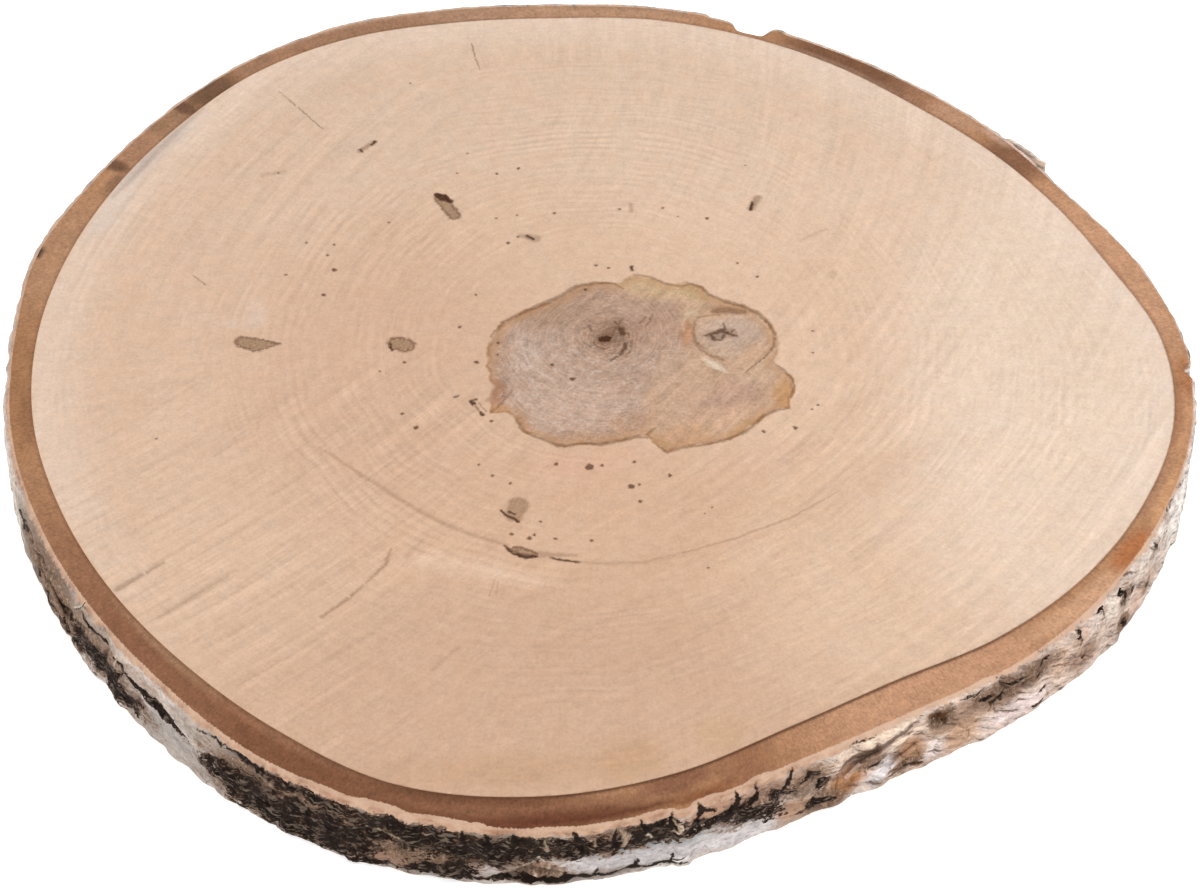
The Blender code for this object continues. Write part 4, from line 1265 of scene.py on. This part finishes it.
def make_bark(material):
    """The whole ring of bark as one closed band: sawn rim, cork edge, wall and underside."""
    drum = np.arange(BARK_COLUMNS) * 2.0 * math.pi / BARK_COLUMNS
    bearings = np.degrees(drum - FRONT_CROWDING * np.cos(drum)) % 360.0
    radii, heights = bark_profile(bearings)
    lines = len(radii)
    for line in range(1, FIRST_WALL):
        outward = radii[line] / FIBRE_LENGTH_MM
        for column, bearing in enumerate(bearings):
            place = Vector((bearing * FIBRES_A_DEGREE, outward[column], FIBRE_LAYER))
            heights[line][column] -= FIBRE_DEPTH_MM * abs(noise.noise(place))
    black = crust_field(bearings, heights, BLACK_CRUSTS)
    brown = crust_field(bearings, heights, BROWN_CRUSTS)
    cracks = roughen(bearings, radii, heights, black, brown)

    faces = []
    for line in range(lines):
        base = line * BARK_COLUMNS
        below = (line + 1) % lines * BARK_COLUMNS
        for column in range(BARK_COLUMNS):
            after = (column + 1) % BARK_COLUMNS
            faces.append((base + after, base + column, below + column, below + after))
    piece = mesh_object("bark", round_pith(bearings, radii, heights), faces, material)
    mesh = piece.data

    unrolled = heights.copy()
    unrolled[:FIRST_WALL] += radii[FIRST_WALL] - radii[:FIRST_WALL]
    unrolled[LAST_WALL + 1:] -= radii[LAST_WALL] - radii[LAST_WALL + 1:]
    give(mesh, "crust", black, brown, cracks)
    paint_bark(mesh, bearings, radii, heights, unrolled, WALL_PATCHES)
    centres = drum_centres(mesh)
    for hidden in (slice(FIRST_WALL * BARK_COLUMNS), slice(LAST_WALL * BARK_COLUMNS, None)):
        centres[hidden] += FAR_MM
    give_marks(mesh, centres, WALL_MARKS + hidden_lenticels(), drum_place)

    # Unroll the ring into rows of the map
    steps = np.hypot(
        np.diff(radii, axis=0, append=radii[:1]), np.diff(heights, axis=0, append=heights[:1])
    ).mean(axis=1)
    steps[-1] = 1.0
    across = np.concatenate(((0.0,), np.cumsum(steps)))
    across /= across[-1]
    row_columns = BARK_COLUMNS // BARK_ROWS
    row, place = np.divmod(np.arange(BARK_COLUMNS), row_columns)
    left = place / row_columns
    right = left + 1.0 / row_columns
    loops = np.zeros((lines, BARK_COLUMNS, 4, 2))
    for corner, (u, lower) in enumerate(((right, 0), (left, 0), (left, 1), (right, 1))):
        v = across[np.arange(lines) + lower][:, None]
        loops[:, :, corner, 0] = UV_SIDE_GAP + (1.0 - 2.0 * UV_SIDE_GAP) * u
        loops[:, :, corner, 1] = (row + UV_ROW_GAP + (1.0 - 2.0 * UV_ROW_GAP) * v) / BARK_ROWS
    set_uv(mesh, loops)
    return piece


def paint_bark(mesh, bearings, radii, heights, levels, patches):
    """Where every point of the bark lies, and the colours painted on its wall and rim."""
    bearings, radii, heights = np.broadcast_arrays(bearings, radii, heights)
    depth = radii - ring_value(WOOD_RADII_MM, bearings)
    chipped = inner_bark_edge_mm(bearings) - bites_mm(bearings, BROWN_CHIPS, 6)
    brown_edge = chipped + ring_value(BROWN_REACH_MM, bearings) - radii
    brown_edge -= BROWN_FADE * (THICKNESS_MM - heights)
    cork_edge = heights - (THICKNESS_MM - ring_value(CORK_BAND_MM, bearings))
    give(mesh, "wall_mm", *drum_place(bearings, levels))
    give(mesh, "edges_mm", brown_edge, cork_edge, depth)
    give(mesh, "front", front(bearings))
    paint(mesh, "stain", bearings, heights, patches, turning=True, lit=WALL_LIT_SHARE)
    paint(mesh, "rim_stain", bearings, depth, RIM_PATCHES, turning=True)


def drum_centres(mesh):
    """Middle of every face, moved on to the drum that stands for the wall."""
    centres = face_centres(mesh)
    centres[:, :2] *= WALL_RADIUS_MM / np.hypot(centres[:, 0], centres[:, 1])[:, None]
    return centres


def hidden_lenticels():
    """Short dark lines that run round the trunk on the smooth bark at the sides and back."""
    draw = random.Random(HIDDEN_SEED)
    marks = []
    for _ in range(HIDDEN_LENTICELS):
        bearing = draw.uniform(*HIDDEN_BEARINGS)
        height = draw.uniform(*HIDDEN_HEIGHTS_MM)
        length = draw.uniform(*HIDDEN_LENGTHS)
        width = draw.uniform(*HIDDEN_WIDTHS_MM)
        tip = 0.4 * width
        end_height = height + draw.uniform(*HIDDEN_TILTS_MM)
        marks.append(("lenticel", (bearing, height, tip), (bearing + length / 2, height, width),
                      (bearing + length, end_height, tip)))
    return tuple(marks)


def make_peel(name, peel, number, material):
    """One loose strip: rooted in the wall, lifting off it, with a torn edge and a thin tip."""
    root_bearing, root_height, tip_bearing, tip_height, width, lift = peel
    along = np.linspace(0.0, 1.0, PEEL_COLUMNS + 1)[:, None]
    across = np.linspace(-0.5, 0.5, PEEL_LINES + 1)
    bearings = root_bearing + along * (tip_bearing - root_bearing)
    centre = root_height + along * (tip_height - root_height)
    tear = np.array([
        [noise.noise(Vector((share, side, number * PEEL_LAYER))) for side in across * PEEL_TEARS[1]]
        for share in along[:, 0] * PEEL_TEARS[0]
    ])
    narrowing = (1.0 - (1.0 - PEEL_TIP_WIDTH) * along ** 2) * (1.0 + PEEL_TEAR_SHARE * tear)
    heights = centre + across * width * narrowing
    wall = rim_radius_mm(bearings[:, 0])[:, None] + bark_depth_mm(bearings, centre)
    standing = -PEEL_ROOT_MM + (PEEL_ROOT_MM + lift) * along ** PEEL_CURL
    standing = standing + PEEL_WAVE_MM * tear * along
    radii = np.array([wall + standing + side * PEEL_THICKNESS_MM for side in (0.5, -0.5)])

    lines = PEEL_LINES + 1
    half = (PEEL_COLUMNS + 1) * lines
    faces = []
    for corner in range(PEEL_COLUMNS * lines):
        if corner % lines < PEEL_LINES:
            quad = (corner, corner + lines, corner + lines + 1, corner + 1)
            faces += [quad, tuple(half + index for index in reversed(quad))]
    loop = [column * lines for column in range(PEEL_COLUMNS, 0, -1)]
    loop += range(PEEL_LINES)
    loop += [column * lines + PEEL_LINES for column in range(PEEL_COLUMNS)]
    loop += [PEEL_COLUMNS * lines + line for line in range(PEEL_LINES, 0, -1)]
    for here, there in zip(loop, loop[1:] + loop[:1]):
        faces.append((here, there, half + there, half + here))
    if tip_bearing < root_bearing:
        faces = [face[::-1] for face in faces]

    piece = mesh_object(name, round_pith(bearings, radii, heights), faces, material)
    mesh = piece.data
    bearings, heights, _ = np.broadcast_arrays(bearings, heights, radii)
    patches = WALL_PATCHES
    if number in PEEL_COLOURS:
        patches = ((root_bearing, root_height, 60, 60, 0, PEEL_COLOURS[number], .85),)
    fields = (crust_field(bearings, heights, crusts) for crusts in (BLACK_CRUSTS, BROWN_CRUSTS))
    give(mesh, "crust", *fields, 0.0)
    paint_bark(mesh, bearings, radii, heights, heights, patches)
    give_marks(mesh, drum_centres(mesh), WALL_MARKS, drum_place)
    return piece


# Materials

class Value:
    """A number or a vector that the nodes of a material work out, used with the usual signs."""

    def __init__(self, graph, socket):
        self.graph = graph
        self.socket = socket

    def __add__(self, other):
        return self.graph.sign("ADD", self, other)

    def __sub__(self, other):
        return self.graph.sign("SUBTRACT", self, other)

    def __rsub__(self, other):
        return self.graph.sign("SUBTRACT", other, self)

    def __mul__(self, other):
        return self.graph.sign("MULTIPLY", self, other)

    def __truediv__(self, other):
        return self.graph.sign("DIVIDE", self, other)

    __radd__ = __add__
    __rmul__ = __mul__

    def split(self):
        node = self.graph.node("SeparateXYZ", {0: self}).socket.node
        return [Value(self.graph, part) for part in node.outputs]

    def swing(self, amount):
        """Turn a value from 0 to 1 into one that swings about 0."""
        return (self - 0.5) * amount

    def ease(self, low, high):
        """0 below low, 1 above high, and a soft step between them."""
        inputs = {"Value": self, "From Min": low, "From Max": high}
        return self.graph.node("MapRange", inputs, interpolation_type="SMOOTHSTEP")


class Graph:
    """The nodes of one material. Every method adds nodes and hands back what they give."""

    def __init__(self, name):
        self.material = bpy.data.materials.new(name)
        self.material.use_nodes = True
        self.tree = self.material.node_tree
        self.shader = self.tree.nodes["Principled BSDF"]

    def put(self, socket, value):
        if isinstance(value, Value):
            self.tree.links.new(value.socket, socket)
        elif socket.type == "RGBA":
            socket.default_value = (*value, 1.0)
        else:
            socket.default_value = value

    def node(self, kind, inputs, output=0, **settings):
        node = self.tree.nodes.new("ShaderNode" + kind)
        for name, setting in settings.items():
            setattr(node, name, setting)
        for socket, value in inputs.items():
            self.put(node.inputs[socket], value)
        return Value(self, node.outputs[output])

    def attribute(self, name, part="Fac"):
        return self.node("Attribute", {}, part, attribute_name=name)

    def parts(self, name):
        """The three numbers of a vector attribute."""
        return self.attribute(name, "Vector").split()

    def math(self, operation, *values):
        return self.node("Math", dict(enumerate(values)), operation=operation)

    def vector(self, operation, *values):
        single = operation in ("DOT_PRODUCT", "DISTANCE")
        output = "Value" if single else "Vector"
        return self.node("VectorMath", dict(enumerate(values)), output, operation=operation)

    def scale(self, vector, factor):
        return self.node("VectorMath", {0: vector, "Scale": factor}, operation="SCALE")

    def sign(self, operation, first, second):
        """One sign between two numbers or two vectors, or a vector times a number."""
        vectors = [isinstance(value, tuple) or getattr(value, "socket", None) is not None
                   and value.socket.type != "VALUE" for value in (first, second)]
        if all(vectors):
            return self.vector(operation, first, second)
        if any(vectors):
            return self.scale(first, second)
        return self.math(operation, first, second)

    def join(self, *values):
        return self.node("CombineXYZ", dict(enumerate(values)))

    def noise(self, place, size=1.0, detail=2.0, roughness=0.5, distortion=0.0, part="Fac"):
        """Noise from 0 to 1 whose features are about as wide as size."""
        inputs = {"Vector": place, "Scale": 1.0 / size, "Detail": detail,
                  "Roughness": roughness, "Distortion": distortion}
        return self.node("TexNoise", inputs, part)

    def mix(self, share, first, second):
        return self.node("Mix", {0: share, 6: first, 7: second}, 2, data_type="RGBA")

    def ramp(self, value, *stops):
        """A colour for each value between the stops, which are (value, colour)."""
        low, high = stops[0][0], stops[-1][0]
        ramp = self.node("ValToRGB", {0: (value - low) / (high - low)})
        elements = ramp.socket.node.color_ramp.elements
        while len(elements) < len(stops):
            elements.new(0.5)
        for element, (stop, colour) in zip(elements, stops):
            element.position = (stop - low) / (high - low)
            element.color = (*colour, 1.0)
        return ramp

    def nudge(self, place, size, amount):
        """Shift a place by soft noise, so that drawn outlines turn ragged."""
        shift = self.noise(place, size, detail=2.0, roughness=0.6, part="Color")
        return place + (shift - (0.5, 0.5, 0.5)) * amount

    def over(self, colour, layer="stain"):
        """Lay a layer of painted patches over a colour."""
        kept = 1.0 - self.attribute(layer + "_cover")
        return self.scale(colour, kept) + self.attribute(layer, "Vector")

    def stroke(self, layer, colour, place, wobble, speck, darkest, lit):
        """Draw the stroke of a layer that each face carries over a colour."""
        start, end, shape, look = (
            self.attribute(f"{layer}_{part}", "Vector") for part in STROKE_PARTS
        )
        head, tail, softness = shape.split()
        strength, tone, outline = look.split()
        along = end - start
        offset = place - start
        length = self.math("MAXIMUM", self.vector("DOT_PRODUCT", along, along), 1e-6)
        share = self.vector("DOT_PRODUCT", offset, along) / length
        share = self.math("MINIMUM", self.math("MAXIMUM", share, 0.0), 1.0)
        gap = self.vector("DISTANCE", offset, along * share)
        depth = (head + share * (tail - head)) * (1.0 + wobble) - gap
        cover = depth.ease(softness * -0.6, softness * 0.6)
        rim = 1.0 - depth.ease(0.3, 1.4)
        tone = tone + speck.swing(0.6) + outline * rim * -0.26
        shade = self.ramp(tone, (0.0, darkest), *(
            (stop, srgb(*tint, lit)) for stop, tint in STROKE_TINTS
        ))
        return self.mix(cover * strength, colour, shade)

    def marks(self, colour, *how):
        """Draw both layers of marks, the broad one first."""
        for layer in LAYERS:
            colour = self.stroke(layer, colour, *how)
        return colour

    def finish(self, colour, roughness, specular=0.0, height=None, distance=0.0):
        self.put(self.shader.inputs["Base Color"], colour)
        self.put(self.shader.inputs["Roughness"], roughness)
        self.shader.inputs["Specular IOR Level"].default_value = specular
        if height is not None:
            inputs = {"Height": height, "Strength": 0.5, "Distance": distance}
            self.put(self.shader.inputs["Normal"], self.node("Bump", inputs))
        return self.material


def wood_material():
    """Pale birch: growth rings, saw marks, fine grain, and a stained heart."""
    g = Graph("wood")
    place = g.attribute("place_mm", "Vector")
    x, y, _ = place.split()
    ring = g.attribute("ring_mm")
    edge = g.attribute("edge_mm")
    cloud, rings_seen, saw_seen = g.parts("tone")
    radius = g.math("MAXIMUM", g.math("SQRT", x * x + y * y), 1.0)
    rightward, backward = x / radius, y / radius
    grain = g.noise(place, 1.0, detail=3.0, roughness=0.75)
    mottle = g.noise(place, 2.8, detail=4.0, roughness=0.72)
    blush = g.noise(place, 7.0, detail=4.0, roughness=0.66)
    breaks = g.noise(place, 13.0, detail=3.0, roughness=0.6).ease(0.34, 0.62)

    # Growth rings: a regular swell, broken by finer lines
    fine = g.noise(g.join(ring, 0.0, 9.0), 1.1, detail=2.0, roughness=0.7)
    group = g.noise(g.join(ring, 0.0, 3.0), 5.0, detail=1.0)
    turn = ring * (2.0 * math.pi / RING_SPACING_MM) + group.swing(9.0)
    swell = g.math("SINE", turn) * (0.005 + rings_seen * 0.032)
    lines = fine.swing(1.0) * (0.09 + rings_seen * 0.16)
    rings = (swell + lines) * (0.25 + breaks * 1.2)

    # Saw marks: three families of long arcs
    slow = place * 0.022
    saw = 0.0
    for family, (reach, share) in enumerate(zip(g.parts("saw_mm"), g.parts("saw_share"))):
        arc = g.join(reach * 0.52, 0.0, 17.0 * family) + slow
        saw = saw + g.noise(arc, 1.6, detail=4.0, roughness=0.68).swing(1.0) * share
    saw_light = saw * (0.13 + saw_seen * 0.33) * (0.45 + breaks)

    # Rays that run from the pith
    rays = g.noise(g.join(rightward * 150.0, backward * 150.0, radius * 0.10), 1.0, detail=1.0)

    # Painted tone, palest near the bark except at the front: partly the wood's own paler tone,
    # partly a painted sheen of the light from the back and right
    rim_pale_and_sheen = edge.ease(24.0, 2.0) * backward.ease(-0.8, -0.2)
    base = g.mix(rim_pale_and_sheen * 0.45, g.over(PALE_WOOD), OUTER_WOOD_AND_SHEEN)
    light = (1.02 + rings + saw_light + rays.swing(0.08) + grain.swing(0.40)
             + mottle.swing(0.38) + cloud * 0.010)
    tint = g.mix(blush.ease(0.34, 0.66), COOL_TINT, WARM_TINT)
    base = base * light * tint

    # The heart: stained wood with a dark rim, and a greyer core with fine rings
    ragged = g.noise(place, 4.0, detail=3.0, roughness=0.62)
    heart = g.attribute("heart_mm") + ragged.swing(4.0)
    in_heart = heart.ease(-0.8, 1.0)
    in_core = (g.attribute("core_mm") + ragged.swing(6.0)).ease(-2.5, 2.5)
    streak_place = g.join(x * 0.82 - y * 0.57, x * 0.08 + y * 0.115, 0.0)
    streaks = g.noise(streak_place, 2.6, detail=3.0, roughness=0.62)
    turn_place = g.join(ring, rightward * 3.0, backward * 3.0)
    heart_rings = g.noise(turn_place, 0.8, detail=2.0, roughness=0.7)
    heart_light = (1.0 + heart_rings.swing(1.0) * in_core * (0.7 + radius.ease(15.0, 4.0))
                   + streaks.swing(1.0) * (0.75 - in_core * 0.25) + saw_light * 1.4
                   + mottle.swing(0.85) + grain.swing(0.8) + rays.swing(0.08))
    stain = g.over(g.mix(in_core, HEART_WOOD, CORE_WOOD), "heart_stain") * heart_light * tint
    chalk = g.noise(place, 1.9, detail=3.0, roughness=0.75).ease(0.53, 0.66) * in_core
    stain = g.mix(chalk * y.ease(8.0, -8.0) * 0.42, stain, CHALK)
    colour = g.mix(in_heart, base, stain)
    rim_line = 1.0 - g.math("ABSOLUTE", heart - 0.6).ease(0.1, 1.0)
    rim_seen = 0.12 + g.noise(place, 8.0, detail=3.0).ease(0.42, 0.60) * 0.5
    colour = g.mix(rim_line * rim_seen, colour, HEART_RIM)
    glow = 1.0 - g.math("ABSOLUTE", heart - 2.0).ease(0.4, 2.6)
    colour = g.mix(glow * 0.32, colour, HEART_GLOW)

    # Marks, and a thin dark line of cambium round the outside
    flat_place = g.nudge(g.join(x, y, 0.0), 1.7, (1.5, 1.5, 0.0))
    wobble = grain.swing(0.9) + mottle.swing(0.6)
    colour = g.marks(colour, flat_place, wobble, grain, WOOD_DARKEST, LIT_SHARE)
    cambium = (edge + mottle.swing(0.8)).ease(0.6, 0.0)
    cambium_colour = g.mix(rightward.ease(-0.75, -0.25), PALE_CAMBIUM, DARK_CAMBIUM)
    colour = g.mix(cambium * 0.45, colour, cambium_colour)

    height = saw + fine.swing(0.25) + grain.swing(0.5)
    roughness = WOOD_ROUGHNESS - in_heart * 0.05 + grain.swing(0.12)
    return g.finish(colour, roughness, SPECULAR, height, WOOD_BUMP)


def bark_material():
    """Birch bark: brown inner bark and pale cork where sawn, white skin and crusts outside."""
    g = Graph("bark")
    place = g.attribute("wall_mm", "Vector")
    x, y, level = place.split()
    brown_edge, cork_edge, depth = g.parts("edges_mm")
    black, brown, crack = g.parts("crust")
    on_front = g.attribute("front")
    sheet = place * (1.0, 1.0, 1.6)
    speck = g.noise(sheet, 1.5, detail=3.0, roughness=0.72, distortion=0.5)
    blot = g.noise(place, 1.0, detail=2.0, roughness=0.7)
    coarse = g.noise(sheet, 5.0, detail=3.0, roughness=0.6)
    fibre = g.noise(place * (1.0, 1.0, 0.5), 0.7, detail=3.0, roughness=0.65)
    layers = g.noise(place * (1.0, 1.0, 3.4), 3.4, detail=3.0, roughness=0.65)
    to_right = x.ease(40.0, 90.0)

    # Outer bark: papery white skin with brown flecks, painted where it is tan or grey
    streak_place = g.join(level + (x + y) * 0.35, (x + y) * 0.14, (x - y) * 0.14)
    streak = g.noise(streak_place, 2.2, detail=4.0, roughness=0.68, distortion=0.5)
    streaked = streak.swing(1.0) * (0.5 + to_right * 1.7)
    wall = g.over(g.ramp(coarse, *SKIN_RAMP))
    wall = wall * (0.98 + speck.swing(1.4) + coarse.swing(0.7) + streaked)
    wall = g.vector("MINIMUM", wall, WHITEST_SKIN)
    fleck = (speck + coarse.swing(0.25)).ease(0.36, 0.28)
    wall = g.mix(fleck * (0.15 + on_front * 0.5), wall, SKIN_FLECK)

    # Thin leaning cracks in the skin
    sliver = (streak + blot.swing(0.15)).ease(0.42, 0.35) * on_front * (0.2 + to_right * 0.7)
    wall = g.mix(sliver, wall, SKIN_CRACK)

    # Crusts, torn into specks of black, brown and tan
    torn = speck.swing(2.0) + layers.swing(2.2) + coarse.swing(1.8) + blot.swing(0.8)
    brown_depth = g.math("MINIMUM", brown, 0.45) * 1.5 + torn
    wall = g.mix(brown_depth.ease(-0.15, 0.25) * 0.85, wall, g.ramp(blot, *BROWN_RAMP))
    black_depth = g.math("MINIMUM", black, 0.38) * 1.5 + torn
    wall = g.mix(black_depth.ease(-0.05, 0.12), wall, g.ramp(black_depth, *BLACK_RAMP))
    flake = layers.ease(0.54, 0.62) * black.ease(-0.1, 0.1)
    wall = g.mix(flake * 0.34, wall, CRUST_FLAKE)
    # Painted shade in the cracks between the plates
    wall = g.mix(crack.ease(0.3, 0.9) * 0.5, wall, CRACK_SHADE)

    # The sawn cork edge above it, ragged where it meets the crust, with a painted highlight along
    # its top
    cork = g.ramp(coarse, *CORK_RAMP) * (1.0 + blot.swing(0.6))
    cork = g.mix(level.ease(22.9, 23.9) * 0.5, cork, CORK_TOP_HIGHLIGHT)
    cork = g.mix(to_right * 0.45, cork, CORK_RIGHT)
    cork_line = cork_edge + speck.swing(4.0) + coarse.swing(2.0)
    colour = g.mix(cork_line.ease(0.0, 0.4), wall, cork)
    ragged_place = g.nudge(place, 1.8, (2.2, 2.2, 2.2))
    wobble = speck.swing(1.6) + blot.swing(0.8)
    colour = g.marks(colour, ragged_place, wobble, blot, BARK_DARKEST, WALL_LIT_SHARE)

    # The sawn inner bark, with fine fibres that run outward
    inner_light = 1.0 + fibre.swing(0.9) + blot.swing(0.5) + speck.swing(0.5) + coarse.swing(0.6)
    inner = g.over(INNER_BROWN, "rim_stain") * inner_light
    cambium = (depth + blot.swing(0.8)).ease(1.5, 0.4)
    at_front = x.ease(-36.0, -8.0) * on_front.ease(0.80, 0.90)
    inner = g.mix(cambium * (0.16 + at_front * 0.55), inner, INNER_CAMBIUM)
    on_inner = (brown_edge + fibre.swing(1.6)).ease(-0.15, 0.2)
    colour = g.mix(on_inner, colour, inner)

    height = (speck + blot * 0.5) * (1.0 + black * 0.6)
    roughness = BARK_ROUGHNESS + coarse.swing(0.2)
    return g.finish(colour, roughness, SPECULAR, height, BARK_BUMP)


def floor_material():
    g = Graph("floor")
    place = Value(g, g.tree.nodes.new("ShaderNodeTexCoord").outputs["Object"])
    colour = g.mix(g.noise(place, 0.4), *FLOOR_COLOURS)
    # Painted light: the floor glows, though it is no lamp
    g.shader.inputs["Emission Color"].default_value = (1.0, 1.0, 1.0, 1.0)
    g.shader.inputs["Emission Strength"].default_value = FLOOR_GLOW
    return g.finish(colour, FLOOR_ROUGHNESS)


# The scene

def add_camera():
    camera = bpy.data.objects.new("camera", bpy.data.cameras.new("camera"))
    camera.data.lens = LENS_LENGTH
    camera.data.sensor_width = SENSOR_WIDTH
    camera.data.clip_end = 20.0
    aim = Vector(CAMERA_AIM_MM) * MM
    back = Vector((0.0, -math.cos(CAMERA_ELEVATION), math.sin(CAMERA_ELEVATION)))
    camera.location = aim + back * CAMERA_DISTANCE
    camera.rotation_euler = (math.pi / 2.0 - CAMERA_ELEVATION, 0.0, 0.0)
    bpy.context.scene.collection.objects.link(camera)
    bpy.context.scene.camera = camera


def add_light(name, place, power):
    """A round soft light that shines at the middle of the table."""
    light = bpy.data.lights.new(name, "AREA")
    light.shape = "DISK"
    light.size = LIGHT_SIZE
    light.energy = power
    thing = bpy.data.objects.new(name, light)
    thing.location = place
    thing.rotation_euler = Vector(place).to_track_quat("Z", "Y").to_euler()
    bpy.context.scene.collection.objects.link(thing)


def add_floor():
    mesh = bpy.data.meshes.new("floor")
    sides = ((-1, -1), (1, -1), (1, 1), (-1, 1))
    corners = [(FLOOR_REACH * x, FLOOR_REACH * y, 0.0) for x, y in sides]
    mesh.from_pydata(corners, [], [(0, 1, 2, 3)])
    mesh.materials.append(floor_material())
    floor = bpy.data.objects.new("floor", mesh)
    bpy.context.scene.collection.objects.link(floor)


def add_world():
    world = bpy.data.worlds.new("studio")
    world.use_nodes = True
    background = world.node_tree.nodes["Background"]
    background.inputs["Color"].default_value = (1.0, 1.0, 1.0, 1.0)
    background.inputs["Strength"].default_value = SKY_STRENGTH
    bpy.context.scene.world = world
    bpy.context.scene.view_settings.view_transform = "Standard"


def dress(piece):
    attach(piece, "root")
    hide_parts("birch_slice")


add_camera()
add_world()
for name, place, power in LIGHTS:
    add_light(name, place, power)
add_floor()

wood = wood_material()
bark = bark_material()
dress(make_face_piece("wood_upper", True, wood))
dress(make_face_piece("wood_under", False, wood))
dress(make_bark(bark))
for number, peel in enumerate(PEELS, start=1):
    dress(make_peel(f"peel_{number}", peel, number, bark))
